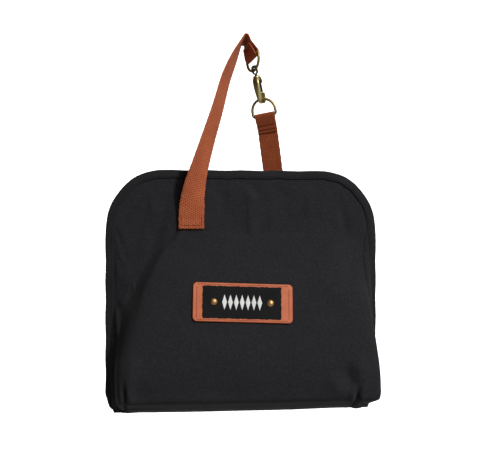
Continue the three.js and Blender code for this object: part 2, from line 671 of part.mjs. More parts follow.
/** The hook's outline: down its spine, round under the ring's wire and up to the nose. */
function hookShape() {
  const tip = REACH;
  const outer = new THREE.SplineCurve(
    [
      [-3.2, NECK_TOP + 1.4],
      [-5.8, 8.6],
      [-7.6, 12.4],
      [-8.1, 17.5],
      [-7.2, 23.5],
      [-6.1, tip - 1.6],
      [-3.9, tip + 2.6],
      [0, tip + 4.9],
      [4, tip + 2.9],
      [6.1, tip - 0.8],
      [6.4, tip - 4.4],
      [6.2, tip - 5.6],
    ].map(([x, y]) => new THREE.Vector2(x, y)),
  );
  const inner = new THREE.SplineCurve(
    [
      [4.6, tip - 5.6],
      [4.5, tip - 3.2],
      [3.8, tip],
      [0, tip + 2.7],
      [-3.9, tip - 0.4],
      [-5.2, tip - 5],
      [-5.4, 17.5],
      [-4.8, 12.6],
      [-3, NECK_FOOT + 0.6],
      [0, NECK_FOOT],
      [2.8, NECK_FOOT + 0.3],
    ].map(([x, y]) => new THREE.Vector2(x, y)),
  );
  const shoulder = [
    [3.3, 10.4],
    [3.3, 14.6],
    [5.2, 15.2],
    [7.2, 14.6],
    [7.7, 12],
    [6.6, 9],
    [3.6, NECK_TOP + 1.4],
  ].map(([x, y]) => new THREE.Vector2(x, y));
  return new THREE.Shape([...outer.getPoints(18), ...inner.getPoints(18), ...shoulder]);
}

function addClaspBody() {
  const plate = claspPlate(hookShape(), HOOK_THICK, 0.5);
  const collar = claspTurned(3.4, NECK_TOP, NECK_FOOT);
  const bore = claspTurned(STUD_RADIUS + GAP, NECK_TOP - 1, NECK_FOOT + 1);
  const headRoom = claspTurned(HEAD_RADIUS + GAP, NECK_FOOT, NECK_FOOT + 2.2);
  const slotHalf = GATE_THICK / 2 + GAP;
  const slotLow = new THREE.Vector3(2.4, 9.9, -slotHalf);
  const slot = solid(boxBetween(slotLow, new THREE.Vector3(9, 18, slotHalf)));
  const body = plate.add(collar).subtract(bore).subtract(headRoom).subtract(slot);
  const bored = body.subtract(acrossPin(PIN_RADIUS + GAP, 4));
  piece("clasp_body", geometryOf(bored), ANTIQUE_BRASS, hookPlace);
}

/** The gate, its pin and the leaf that pushes it shut. */
function addGate() {
  const tail = REACH - 5.6 - GAP;
  const shape = new THREE.Shape();
  shape.absarc(PIN.x, PIN.y, 2, Math.PI, 2 * Math.PI);
  shape.lineTo(PIN.x + 1.5, tail - 0.6);
  shape.lineTo(PIN.x + 0.9, tail);
  shape.lineTo(PIN.x - 1, tail);
  shape.lineTo(PIN.x - 1.3, tail - 1);
  const gate = claspPlate(shape, GATE_THICK, 0).subtract(acrossPin(PIN_RADIUS + GAP, 4));
  piece("clasp_gate", geometryOf(gate), ANTIQUE_BRASS, hookPlace);
  piece("gate_pin", geometryOf(acrossPin(PIN_RADIUS, HOOK_THICK / 2)), ANTIQUE_BRASS, hookPlace);
  const leafLow = new THREE.Vector3(PIN.x - 2.85, PIN.y - 2.4, -1.1);
  const leafHigh = new THREE.Vector3(PIN.x - 2.55, PIN.y + 1.8, 1.1);
  piece("gate_spring", boxBetween(leafLow, leafHigh), SPRING_STEEL, hookPlace);
}

// ---------------------------------------------------------------- zip slider
const SLIDER_HEIGHT = 36; // parked low on the right side
const SLIDER = { long: 11, half: 4.6, plate: 1.4 };
const SIDE = BAG_WIDTH / 2;

/** The slider: an outer and an inner plate joined by a web that runs between the coils. */
function addSlider() {
  const outLow = SIDE - COIL.out + GAP;
  const inHigh = SIDE - TAPE.in - GAP;
  const low = SLIDER_HEIGHT - SLIDER.long / 2;
  const high = SLIDER_HEIGHT + SLIDER.long / 2;
  const block = (x0, x1, half) =>
    solid(boxBetween(new THREE.Vector3(x0, -half, low), new THREE.Vector3(x1, half, high)));
  const outer = block(outLow, outLow + SLIDER.plate, SLIDER.half);
  const inner = block(inHigh - SLIDER.plate, inHigh, SLIDER.half);
  const web = block(inHigh - 0.5, outLow + 0.5, 0.5);
  const pivot = new THREE.Vector3(outLow + SLIDER.plate + 1.3, 0, high - 2.4);
  const ear = (side) =>
    solid(
      boxBetween(
        new THREE.Vector3(outLow + 0.5, side * 3.4 - 0.6, pivot.z - 1.3),
        new THREE.Vector3(pivot.x + 1.1, side * 3.4 + 0.6, pivot.z + 1.3),
      ),
    );
  const pin = (radius, half) => {
    const from = new THREE.Vector3(pivot.x, -half, pivot.z);
    return solid(rod(from, new THREE.Vector3(pivot.x, half, pivot.z), radius, 10));
  };
  const slider = outer.add(inner).add(web).add(ear(-1)).add(ear(1)).add(pin(0.55, 3.4));
  piece("zip_slider", geometryOf(slider), ANTIQUE_BRASS);
  const knuckle = pin(1.2, 2.5);
  const tag = roundedRectangle(6, 24, 2, -12);
  const pull = new THREE.ExtrudeGeometry(tag, { depth: 1.2, bevelEnabled: false, curveSegments: 4 });
  pull.rotateX(Math.PI / 2).rotateZ(Math.PI / 2).translate(pivot.x + 0.6, 0, pivot.z);
  const puller = solid(pull).add(knuckle).subtract(pin(0.55 + GAP, 4));
  piece("zip_puller", geometryOf(puller), ANTIQUE_BRASS);
}

addFrontHalf();
addInnerPocket();
addBottomGusset();
addLabel();
addFrontStrap();
addRearHalf();
addRearTab();
piece("rear_ring", dRing(REAR_RING, REAR_BAR, REAR_BAR_WAY, rearArcWay), ANTIQUE_BRASS);
piece("upper_ring", dRing(UPPER_RING, UPPER_BAR, UPPER_BAR_WAY, upperArcWay), ANTIQUE_BRASS);
addClaspEye();
addClaspBody();
addGate();
addSlider();

// Hang the bag from the underside of its top fold.
const hangWay = square(new THREE.Vector3(0, 0, 1), FOLD_LINE);
const hang = APEX.clone().addScaledVector(hangWay, APEX_RADIUS - STRAP_THICK / 2);
bag.position.copy(hang.negate());

const model = new THREE.Group();
model.add(bag);
export default model;
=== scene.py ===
# A soft black baby changing bag that hangs from its tan webbing handle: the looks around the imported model.
# Lengths in this script are millimetres in bag coordinates: X across the bag, Y from its front (-) to its
# back (+) with 0 in the plane of the zip, Z up from the bottom fold. make() turns them into the frame's metres.
import json
import math

import bmesh
import bpy
import numpy as np
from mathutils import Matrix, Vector
from mathutils.bvhtree import BVHTree


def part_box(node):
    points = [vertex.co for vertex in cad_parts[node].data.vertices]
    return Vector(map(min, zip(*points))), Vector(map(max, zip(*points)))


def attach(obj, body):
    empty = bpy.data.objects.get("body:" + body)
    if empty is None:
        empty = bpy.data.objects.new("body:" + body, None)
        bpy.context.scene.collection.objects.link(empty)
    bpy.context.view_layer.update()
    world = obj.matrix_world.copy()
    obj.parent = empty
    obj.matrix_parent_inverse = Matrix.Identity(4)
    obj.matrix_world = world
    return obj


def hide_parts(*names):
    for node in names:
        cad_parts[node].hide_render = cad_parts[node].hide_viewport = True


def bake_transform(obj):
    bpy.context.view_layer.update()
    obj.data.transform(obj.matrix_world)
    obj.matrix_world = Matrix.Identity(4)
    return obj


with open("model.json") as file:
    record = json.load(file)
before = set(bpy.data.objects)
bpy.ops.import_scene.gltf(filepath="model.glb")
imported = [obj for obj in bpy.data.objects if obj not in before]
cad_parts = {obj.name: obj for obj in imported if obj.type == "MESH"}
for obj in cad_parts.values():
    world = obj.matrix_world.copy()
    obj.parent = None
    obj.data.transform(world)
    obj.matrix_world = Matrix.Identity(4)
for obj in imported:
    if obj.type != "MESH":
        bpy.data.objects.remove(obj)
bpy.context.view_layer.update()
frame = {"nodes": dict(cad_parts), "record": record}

# ---------------------------------------------------------------- places taken from the frame
MM = 0.001
BINDING_NEAR = 5.4  # a binding's near face, from the plane of the zip
BINDING_FAR = 9.6
BAND = 8.0  # width of a binding
binding_low, binding_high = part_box("front_binding")
panel_low, panel_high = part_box("rear_panel")
ORIGIN = np.array(
    [(panel_low.x + panel_high.x) / 2, binding_high.y + BINDING_NEAR * MM, panel_low.z]
)
HALF = (binding_high.x - binding_low.x) / 2 / MM
HEIGHT = (binding_high.z - panel_low.z) / MM
CORNER_X = 55.0  # reach of a round top corner, across and down
CORNER_Z = 61.0
SPRING = HEIGHT - CORNER_Z  # where the outline starts to curve
rng = np.random.default_rng(7)


def added(name, data):
    """A new object in the scene."""
    made = bpy.data.objects.new(name, data)
    bpy.context.scene.collection.objects.link(made)
    return made


# ---------------------------------------------------------------- camera
CAMERA_TURN = math.radians(-7)
CAMERA_DISTANCE = 0.95
VIEW_WIDTH = 0.48  # what the picture's width takes in, at the bag's middle
AIM_LEFT = 0.0018
AIM_DOWN = 0.194


def add_camera():
    camera = added("camera", bpy.data.cameras.new("camera"))
    camera.data.sensor_width = 36
    camera.data.lens = camera.data.sensor_width * CAMERA_DISTANCE / VIEW_WIDTH
    aim = Vector((ORIGIN[0] - AIM_LEFT, 0, -AIM_DOWN))
    back = Vector((math.sin(CAMERA_TURN), -math.cos(CAMERA_TURN), 0))
    camera.location = aim + back * CAMERA_DISTANCE
    camera.rotation_euler = (-back).to_track_quat("-Z", "Y").to_euler()
    bpy.context.scene.camera = camera


add_camera()


# ---------------------------------------------------------------- meshes
def shade(work, angle):
    """Smooth shading, with the edges sharper than an angle kept crisp."""
    for face in work.faces:
        face.smooth = True
    for edge in work.edges:
        edge.smooth = edge.calc_face_angle(0.0) < math.radians(angle)


def make(name, solid, material, body, slot=None, *stands_for, sharp=50):
    """A piece from points and faces in bag millimetres, and a layout with one pair for each point if given."""
    verts, faces, *layout = solid
    mesh = bpy.data.meshes.new(name)
    mesh.from_pydata((np.asarray(verts) * MM + ORIGIN).tolist(), [], [list(map(int, f)) for f in faces])
    if layout:
        layer = mesh.uv_layers.new(name="cloth")
        corner = np.zeros(len(mesh.loops), int)
        mesh.loops.foreach_get("vertex_index", corner)
        layer.data.foreach_set("uv", np.asarray(layout[0], np.float32)[corner].ravel())
    work = bmesh.new()
    work.from_mesh(mesh)
    bmesh.ops.recalc_face_normals(work, faces=work.faces)
    shade(work, sharp)
    work.to_mesh(mesh)
    work.free()
    mesh.materials.append(material)
    piece = added(name, mesh)
    if body:
        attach(piece, body)
    if stands_for:
        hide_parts(*stands_for)
    return piece


def grid_faces(rows, cols, start=0, wrap=False):
    """Quads over a grid of points, row by row."""
    faces = []
    for r in range(rows - 1):
        low, high = start + r * cols, start + (r + 1) * cols
        for c in range(cols if wrap else cols - 1):
            after = (c + 1) % cols
            faces.append((low + c, low + after, high + after, high + c))
    return faces


def close_grids(front, back):
    """Points and faces of a thin solid between two grids of equal size, each (rows, cols, 3)."""
    rows, cols = front.shape[:2]
    count = rows * cols
    faces = grid_faces(rows, cols)
    faces += [tuple(reversed(f)) for f in grid_faces(rows, cols, count)]
    bottom = list(range(cols))
    right = [r * cols + cols - 1 for r in range(1, rows)]
    top = [(rows - 1) * cols + c for c in range(cols - 2, -1, -1)]
    left = [r * cols for r in range(rows - 2, 0, -1)]
    border = bottom + right + top + left
    for a, b in zip(border, border[1:] + border[:1]):
        faces.append((b, a, a + count, b + count))
    return np.concatenate([front.reshape(-1, 3), back.reshape(-1, 3)]), faces


def grid_normals(grid):
    """Unit normals of a grid of points."""
    normal = np.cross(np.gradient(grid, axis=1), np.gradient(grid, axis=0))
    return normal / np.maximum(np.linalg.norm(normal, axis=2, keepdims=True), 1e-9)


def points(x, y, z):
    """Points from their coordinates, which are arrays or single values."""
    return np.stack(np.broadcast_arrays(x, y, z), axis=-1)


def distances(line):
    """How far along a line each of its points is."""
    return np.concatenate([[0], np.cumsum(np.linalg.norm(np.diff(line, axis=0), axis=1))])


def read(table, at, stops):
    """The columns of a table at places between its rows' stops."""
    return np.stack([np.interp(at, stops, column) for column in np.transpose(table)], axis=-1)


def resample(line, count):
    """The same line with evenly spaced points."""
    along = distances(line)
    return read(line, np.linspace(0, along[-1], count), along)


def catmull(knots, count):
    """Points on a smooth curve through knots, evenly spread along it."""
    knots = np.asarray(knots, float)
    padded = np.concatenate([[2 * knots[0] - knots[1]], knots, [2 * knots[-1] - knots[-2]]])
    line = []
    for i in range(len(knots) - 1):
        p0, p1, p2, p3 = padded[i : i + 4]
        square_part, cube_part = 2 * p0 - 5 * p1 + 4 * p2 - p3, 3 * p1 - p0 - 3 * p2 + p3
        for t in np.linspace(0, 1, 24, endpoint=False):
            line.append(0.5 * (2 * p1 + (p2 - p0) * t + square_part * t**2 + cube_part * t**3))
    line.append(knots[-1])
    return resample(np.array(line), count)


def smooth_run(line, sigma):
    """Gaussian smoothing of a line of evenly spaced points, with its ends held."""
    reach = int(3 * sigma) + 1
    weights = np.exp(-0.5 * (np.arange(-reach, reach + 1) / sigma) ** 2)
    weights /= weights.sum()
    before = 2 * line[0] - line[reach:0:-1]
    after = 2 * line[-1] - line[-2 : -reach - 2 : -1]
    padded = np.concatenate([before, line, after])
    return np.stack([np.convolve(column, weights, "valid") for column in padded.T], axis=1)


def ease(value, width):
    """Rises smoothly from 0 to 1 over a width."""
    t = np.clip(value / width, 0, 1)
    return t * t * (3 - 2 * t)


def packed(count, power):
    """Stations from -1 to 1, closer together at both ends."""
    even = np.linspace(-1, 1, count)
    return np.sign(even) * (1 - (1 - np.abs(even)) ** power)


def unit(v):
    v = np.asarray(v, float)
    return v / np.linalg.norm(v)


def square(v, to):
    """The part of v at right angles to a unit vector, made one long."""
    v = np.asarray(v, float)
    return unit(v - np.dot(v, to) * to)


def directions(line, closed=False):
    """Unit directions along a line of points."""
    if closed:
        ahead = np.roll(line, -1, axis=0) - np.roll(line, 1, axis=0)
    else:
        ahead = np.gradient(line, axis=0)
    return ahead / np.linalg.norm(ahead, axis=1, keepdims=True)


def sweep(centres, sides, outs, profiles, closed=False):
    """Skins profiles along a line: a point of a profile is (along side, along out) from the line."""
    profiles = np.broadcast_to(profiles, (len(centres), *np.shape(profiles)[-2:]))
    sides, outs = np.broadcast_to(sides, centres.shape), np.broadcast_to(outs, centres.shape)
    verts = centres[:, None] + profiles[..., :1] * sides[:, None] + profiles[..., 1:] * outs[:, None]
    rows, cols = verts.shape[:2]
    last = (rows - 1) * cols
    faces = grid_faces(rows, cols, wrap=True)
    if closed:
        faces += [(last + c, last + (c + 1) % cols, (c + 1) % cols, c) for c in range(cols)]
    else:
        faces += [tuple(reversed(range(cols))), tuple(range(last, rows * cols))]
    along = np.broadcast_to(distances(centres)[:, None], (rows, cols))
    layout = np.stack([profiles[..., 0], along], axis=2)
    return verts.reshape(-1, 3), faces, layout.reshape(-1, 2)


def tape_profile(width, thick, steps=10):
    """A flat tape's section with round edges."""
    half = width / 2 - thick / 2
    turn = np.linspace(-np.pi / 2, np.pi / 2, 5)
    right = np.stack([half + thick / 2 * np.cos(turn), thick / 2 * np.sin(turn)], axis=1)
    top = np.stack([np.linspace(half, -half, steps)[1:-1], np.full(steps - 2, thick / 2)], axis=1)
    return np.concatenate([right, top, -right, -top])


def tube(name, centres, radius, material, body, *rest, closed=False, sides=10):
    """A round wire along a line."""
    ways = directions(centres, closed)
    if closed:
        axis = unit(np.cross(ways[0], ways[len(ways) // 4]))
        across = [square(np.cross(axis, way), way) for way in ways]
    else:
        across = [square((0.3, 0.5, 0.81), ways[0])]
        for way in ways[1:]:
            across.append(square(across[-1], way))
    turn = np.linspace(0, 2 * np.pi, sides, endpoint=False)
    profile = radius * np.stack([np.cos(turn), np.sin(turn)], axis=1)
    across = np.array(across)
    return make(name, sweep(centres, across, np.cross(ways, across), profile, closed), material, body, *rest)


class Batch:
    """Collects small repeated bodies into one mesh."""

    def __init__(self):
        self.verts = []
        self.faces = []

    def add(self, verts, faces):
        start = sum(len(v) for v in self.verts)
        self.verts.append(np.asarray(verts))
        self.faces += [tuple(start + i for i in f) for f in faces]

    def make(self, name, material, body, slot):
        return make(name, (np.concatenate(self.verts), self.faces), material, body, slot)


# A stitch from end to end: place along it, rise off the cloth and thickness.
STITCH_ARC = np.array([-1, -0.85, -0.4, 0.4, 0.85, 1])
STITCH_RISE = np.array([-0.9, 0.1, 1, 1, 0.1, -0.9])
STITCH_FAT = np.array([0.25, 0.9, 1, 1, 0.9, 0.25])
STITCH_SUNK = 0.6
STITCH_LIFT = 0.1
THREAD_SIDES = 6


def stitches(batch, line, normals, length, pitch, radius):
    """Lays thread stitches along a line on a surface, whose normal is one or a list."""
    normals = np.broadcast_to(normals, line.shape)
    along = distances(line)
    turn = np.linspace(0, 2 * np.pi, THREAD_SIDES, endpoint=False)[:, None]
    for middle in np.arange(pitch / 2, along[-1], pitch):
        ahead = unit(read(line, middle + 1, along) - read(line, middle - 1, along))
        out = square(read(normals, middle, along), ahead)
        side = np.cross(ahead, out)
        ahead = unit(ahead + rng.normal(0, 0.05) * side)
        centres = (
            read(line, middle, along)
            + np.outer(STITCH_ARC * length / 2, ahead)
            + np.outer(STITCH_LIFT + radius * (STITCH_RISE - STITCH_SUNK), out)
        )
        spokes = np.cos(turn) * side + np.sin(turn) * out
        rings = centres[:, None] + radius * STITCH_FAT[:, None, None] * spokes
        last = (len(centres) - 1) * THREAD_SIDES
        faces = grid_faces(len(centres), THREAD_SIDES, wrap=True)
        faces += [tuple(reversed(range(THREAD_SIDES))), tuple(range(last, last + THREAD_SIDES))]
        batch.add(rings.reshape(-1, 3), faces)


# ---------------------------------------------------------------- materials
def srgb(r, g, b):
    """A colour given in 0 to 255 as the renderer's linear values."""
    linear = [((c / 255 + 0.055) / 1.055) ** 2.4 if c > 10 else c / 255 / 12.92 for c in (r, g, b)]
    return (*linear, 1.0)


def tinted(colour, factor, lift=0.0):
    """A darker or paler version of a colour."""
    return tuple(min(1, factor * c + lift) for c in colour[:3]) + (1,)


class Recipe:
    """A material's node tree, built step by step. Sizes are in millimetres."""

    def __init__(self, name, roughness, metallic=0.0, sheen=0.0, specular=0.5):
        self.material = bpy.data.materials.new(name)
        self.material.use_nodes = True
        self.tree = self.material.node_tree
        self.shader = next(n for n in self.tree.nodes if n.type == "BSDF_PRINCIPLED")
        for socket, value in {
            "Roughness": roughness,
            "Metallic": metallic,
            "Sheen Weight": sheen,
            "Specular IOR Level": specular,
        }.items():
            self.shader.inputs[socket].default_value = value
        coordinates = self.tree.nodes.new("ShaderNodeTexCoord")
        scale = self.node("ShaderNodeVectorMath", {0: coordinates.outputs["Object"]}, operation="SCALE")
        scale.inputs["Scale"].default_value = 1 / MM
        self.object = scale.outputs[0]
        self.uv = coordinates.outputs["UV"]

    def node(self, kind, inputs, **settings):
        made = self.tree.nodes.new(kind)
        for key, value in settings.items():
            setattr(made, key, value)
        for key, value in inputs.items():
            if isinstance(value, bpy.types.NodeSocket):
                self.tree.links.new(value, made.inputs[key])
            else:
                made.inputs[key].default_value = value
        return made

    def math(self, operation, a, b=0.0):
        return self.node("ShaderNodeMath", {0: a, 1: b}, operation=operation).outputs[0]

    def plus(self, a, b):
        return self.math("ADD", a, b)

    def minus(self, a, b):
        return self.math("SUBTRACT", a, b)

    def times(self, a, b):
        return self.math("MULTIPLY", a, b)

    def part(self, vector, axis):
        return self.node("ShaderNodeSeparateXYZ", {0: vector}).outputs[axis]

    def ribs(self, value, period):
        """A smooth wave from 0 to 1 that repeats with a period."""
        wave = self.math("SINE", self.times(value, 2 * math.pi / period))
        return self.plus(self.times(wave, 0.5), 0.5)

    def noise(self, size, detail=2.0, rough=0.5):
        """Cloudy noise whose features are about a size across."""
        inputs = {"Vector": self.object, "Scale": 1 / size, "Detail": detail, "Roughness": rough}
        return self.node("ShaderNodeTexNoise", inputs).outputs["Fac"]

    def spread(self, value, low, high, to_low=0.0, to_high=1.0):
        inputs = {"Value": value, "From Min": low, "From Max": high, "To Min": to_low, "To Max": to_high}
        return self.node("ShaderNodeMapRange", inputs).outputs["Result"]

    def mix(self, factor, a, b):
        inputs = {0: factor, 6: a, 7: b}
        return self.node("ShaderNodeMix", inputs, data_type="RGBA").outputs[2]

    def mottled(self, dark, light, size, detail, rough=0.5, low=0.3):
        """Dark and light in soft clouds."""
        return self.mix(self.spread(self.noise(size, detail, rough), low, 1 - low), dark, light)

    def colour(self, value):
        self.tree.links.new(value, self.shader.inputs["Base Color"])

    def roughness(self, value):
        self.tree.links.new(value, self.shader.inputs["Roughness"])

    def bump(self, height, depth):
        """Relief of a depth in millimetres from a height of 0 to 1."""
        made = self.node("ShaderNodeBump", {"Height": height, "Strength": 1.0, "Distance": depth * MM})
        self.tree.links.new(made.outputs["Normal"], self.shader.inputs["Normal"])


BLACK = (0, 0, 0, 1)


def woven_cloth(name, light, dark, thread=0.42, relief=0.05, roughness=0.85, sheen=0.03):
    """Plain-woven fabric that needs no layout: threads follow the frame's axes."""
    r = Recipe(name, roughness, sheen=sheen, specular=0.08)
    wobble = r.times(r.noise(9, 1), 0.8)
    x = r.plus(r.plus(r.part(r.object, 0), wobble), r.part(r.object, 1))
    z = r.plus(r.minus(r.part(r.object, 2), wobble), r.times(r.part(r.object, 1), 0.35))
    weave = r.math("ABSOLUTE", r.minus(r.ribs(x, 2 * thread), r.ribs(z, 2 * thread)))
    fleck = r.noise(0.9, 2)
    slub = r.noise(1.7, 3, 0.7)
    worn = r.mottled(dark, light, 28, 5, 0.75, low=0.25)
    threads = r.mix(r.times(weave, 0.3), worn, BLACK)
    pale = tinted(light, 1.9)
    flecked = r.mix(r.spread(fleck, 0.55, 0.75, 0, 0.35), threads, pale)
    r.colour(r.mix(r.spread(slub, 0.45, 0.75, 0, 0.55), flecked, pale))
    r.roughness(r.spread(fleck, 0.3, 0.7, roughness - 0.08, roughness + 0.08))
    r.bump(r.plus(weave, r.times(fleck, 0.6)), relief)
    return r.material


def webbing(name, light, dark, rib=2.1, weft=2.4):
    """Heavy woven cotton tape; the layout runs across (U) and along (V) in millimetres."""
    r = Recipe(name, 0.88, sheen=0.03, specular=0.12)
    wobble = r.times(r.noise(6, 2), 0.3)
    across = r.plus(r.part(r.uv, 0), wobble)
    along = r.plus(r.part(r.uv, 1), wobble)
    offset = r.times(r.math("ROUND", r.math("DIVIDE", across, rib)), weft / 2)
    bars = r.ribs(r.plus(along, offset), weft)
    cloth = r.plus(r.times(bars, 0.62), r.times(r.ribs(across, rib), 0.38))
    fuzz = r.noise(0.5, 3)
    uneven = r.noise(1.9, 2, 0.6)
    deep = tinted(dark, 0.45)
    woven = r.mix(r.spread(cloth, 0.12, 0.7), deep, r.mottled(dark, light, 16, 4, 0.65))
    yarn = r.mix(r.spread(uneven, 0.38, 0.62, 0.0, 0.22), woven, deep)
    r.colour(r.mix(r.spread(fuzz, 0.58, 0.8, 0, 0.45), yarn, tinted(light, 1.5, 0.02)))
    r.bump(r.plus(cloth, r.times(fuzz, 0.25)), 0.24)
    return r.material


def tape_cloth(name, light, dark, rib=0.6, relief=0.1):
    """Fine ribbed tape such as grosgrain: its ribs run across the layout's length."""
    r = Recipe(name, 0.8, sheen=0.03, specular=0.1)
    ribs = r.ribs(r.part(r.uv, 1), rib)
    base = r.mottled(dark, light, 20, 3)
    r.colour(r.mix(r.times(r.minus(1.0, ribs), 0.45), base, BLACK))
    r.bump(r.plus(ribs, r.times(r.noise(0.7, 3), 0.3)), relief)
    return r.material


def leather(name, light, dark):
    """Smooth tan leather with fine grain and soft mottling."""
    r = Recipe(name, 0.5, specular=0.3)
    cells = r.node("ShaderNodeTexVoronoi", {"Vector": r.object, "Scale": 1 / 0.9}, feature="DISTANCE_TO_EDGE")
    grain = r.spread(cells.outputs["Distance"], 0.0, 0.35)
    pores = r.noise(0.7, 3)
    base = r.mottled(dark, light, 11, 4, 0.6)
    r.colour(r.mix(r.times(r.minus(1.0, grain), 0.35), base, tinted(dark, 0.55)))
    r.roughness(r.spread(pores, 0.3, 0.7, 0.42, 0.62))
    r.bump(r.plus(grain, r.times(pores, 0.5)), 0.07)
    return r.material


def metal(name, light, dark, roughness=0.3, wear=7.0, metallic=1.0, painted_highlight_band=None):
    """Antique plating, dull in its patina; the last argument, if given, is (middle, way, reach, colour) of a
    painted highlight: a pale band of colour standing in for a reflection.
    """
    r = Recipe(name, roughness, metallic=metallic)
    spots = r.noise(1.1, 3)
    mask = r.plus(r.times(r.noise(wear, 5, 0.65), 0.75), r.times(spots, 0.25))
    finish = r.mix(r.spread(mask, 0.4, 0.62), light, dark)
    # Painted highlight: the colour is mixed towards a pale tone in a band around a line, in place of a real
    # reflection.
    if painted_highlight_band:
        middle, way, reach, highlight_colour = painted_highlight_band
        across = r.node("ShaderNodeVectorMath", {0: r.object, 1: way}, operation="DOT_PRODUCT")
        off = r.math("ABSOLUTE", r.minus(across.outputs["Value"], float(np.dot(middle, way))))
        finish = r.mix(r.spread(off, 0.3 * reach, reach, 1.0, 0.0), finish, highlight_colour)
    r.colour(finish)
    r.roughness(r.spread(mask, 0.35, 0.65, roughness - 0.06, roughness + 0.22))
    r.bump(spots, 0.02)
    return r.material


def thread(name, colour):
    """Twisted sewing thread."""
    r = Recipe(name, 0.7, specular=0.1)
    x, y, z = (r.part(r.object, axis) for axis in range(3))
    twist = r.ribs(r.plus(r.plus(x, z), y), 0.45)
    r.colour(r.mix(r.times(twist, 0.4), colour, tinted(colour, 0.5)))
    r.bump(twist, 0.05)
    return r.material


BLACK_CLOTH = woven_cloth("black_cloth", srgb(32, 32, 34), srgb(27, 27, 29))
LINING_CLOTH = woven_cloth(
    "lining_cloth", srgb(150, 153, 157), srgb(138, 141, 145), thread=0.3, relief=0.03, roughness=0.6
)
PAD_CLOTH = woven_cloth(
    "pad_cloth", srgb(205, 207, 208), srgb(192, 194, 196), thread=0.3, relief=0.03, roughness=0.45, sheen=0.1
)
FOAM = woven_cloth(
    "foam_board", srgb(214, 213, 206), srgb(200, 199, 190), thread=0.9, relief=0.2, roughness=0.95
)
BINDING_TAPE = tape_cloth("binding_tape", srgb(36, 36, 38), srgb(30, 30, 32))
LABEL_WEAVE = tape_cloth("label_weave", srgb(26, 26, 27), srgb(18, 18, 19), rib=0.5, relief=0.05)
MOTIF_THREAD = tape_cloth("motif_thread", srgb(232, 232, 230), srgb(214, 214, 212), rib=0.4, relief=0.08)
ZIP_TAPE = tape_cloth("zip_tape_cloth", srgb(34, 34, 36), srgb(26, 26, 28), rib=0.5)
ELASTIC = tape_cloth("ribbed_elastic", srgb(52, 52, 55), srgb(40, 40, 43), rib=1.1, relief=0.25)
FRONT_WEBBING = webbing("front_webbing", srgb(180, 97, 61), srgb(158, 80, 49))
# The rear tab's webbing: the same tan webbing as the handle, with its darker colour painted shade.
REAR_WEBBING_SHADED = webbing("rear_webbing_shaded", srgb(152, 76, 41), srgb(130, 62, 33), rib=1.9, weft=2.2)
TAN_LEATHER = leather("tan_leather", srgb(193, 102, 61), srgb(173, 86, 50))
BLACK_THREAD = thread("black_thread", srgb(24, 24, 25))
DARK_TAN_THREAD = thread("dark_tan_thread", srgb(88, 40, 21))
ZIP_NYLON = metal("zip_nylon", srgb(44, 44, 47), srgb(30, 30, 33), roughness=0.4, metallic=0.0)
BRASS = metal("antique_brass", srgb(158, 141, 90), srgb(104, 92, 56), roughness=0.38, wear=12.0)
# A darker, greyer copy of the brass for the clasp's eye and gate: its darkness is painted shade, standing in for
# the shadow on the clasp's gate side.
SHADED_BRASS = metal("shaded_brass", srgb(76, 71, 58), srgb(42, 40, 35), roughness=0.34, wear=12.0)
GOLD_BRASS = metal("rivet_brass", srgb(200, 162, 108), srgb(140, 104, 60), roughness=0.36, wear=3.0)
STEEL = metal("spring_steel", srgb(188, 188, 190), srgb(150, 150, 154), roughness=0.25)
# The clasp's body gets a painted highlight, a pale stripe down its spine that stands in for the lamp's
# reflection.
clasp_low, clasp_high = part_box("clasp_body")
CLASP_SPINE = (np.array(clasp_low) + np.array(clasp_high)) / 2 / MM - (1.2, 0, 0)
CLASP_BRASS = metal(
    "clasp_brass",
    srgb(150, 136, 84),
    srgb(92, 82, 50),
    wear=16.0,
    painted_highlight_band=(CLASP_SPINE, (0.985, 0.0, 0.174), 2.0, srgb(232, 214, 152)),
)


# ---------------------------------------------------------------- the bag's outline
def half_width(z, inset):
    """Half the bag's width at a height, inset from its edge."""
    rise = np.clip((np.asarray(z, float) - SPRING) / (CORNER_Z - inset), 0, 1)
    return HALF - CORNER_X + (CORNER_X - inset) * np.sqrt(1 - rise**2)


def outline(foot, spacing):
    """Points round the edge from the left foot over the top, with outward directions, in (X, Y, Z)."""
    turn = np.linspace(0, np.pi / 2, 120)
    arc = points(HALF - CORNER_X + CORNER_X * np.cos(turn), 0, SPRING + CORNER_Z * np.sin(turn))
    right = np.concatenate([[[HALF, 0, foot]], arc])
    line = np.concatenate([right * (-1, 1, 1), right[::-1]])
    line = resample(line, int(distances(line)[-1] / spacing))
    return line, np.cross(directions(line), (0, 1.0, 0))


# ---------------------------------------------------------------- the front half's shell
EDGE_DEPTH = 8.4  # how far in front of the zip plane the cloth meets its binding
# Height, depth in front of the zip plane; the same profile that the solid under it has.
DEPTHS = np.array(
    [(0, EDGE_DEPTH), (1.5, 12), (13.6, 46.5), (15.5, 49.2), (19, 50), (49, 48)]
    + [(79, 41.5), (129, 29.5), (155, 20.6), (178, 14.4), (210, 10.5), (229.4, 8.3)]
)
# Height and half-width of the boxed corners' creases, left and right.
CREASE_LEFT = np.array(
    [(0, 120.5), (7, 121.5), (20, 123.8), (36, 126.2), (52, 124), (72, 116.8)]
    + [(99, 108), (122, 98), (150, 86), (200, 72), (230, 62)]
)
CREASE_RIGHT = np.array(
    [(0, 122), (7, 129), (14, 132.6), (22, 134.4), (36, 134.6), (50, 133.6), (73, 131.6)]
    + [(99, 128), (112, 125), (137, 116), (170, 102), (200, 88), (230, 75)]
)
# Height and how softly the section's corners turn there.
SOFTNESS = np.array([(0, 1.8), (12, 3.5), (25, 5.5), (60, 6.5), (110, 8), (150, 10), (180, 12)])
SHELL_ROWS = 150
SHELL_COLS = 190
SHELL_THICK = 1.1

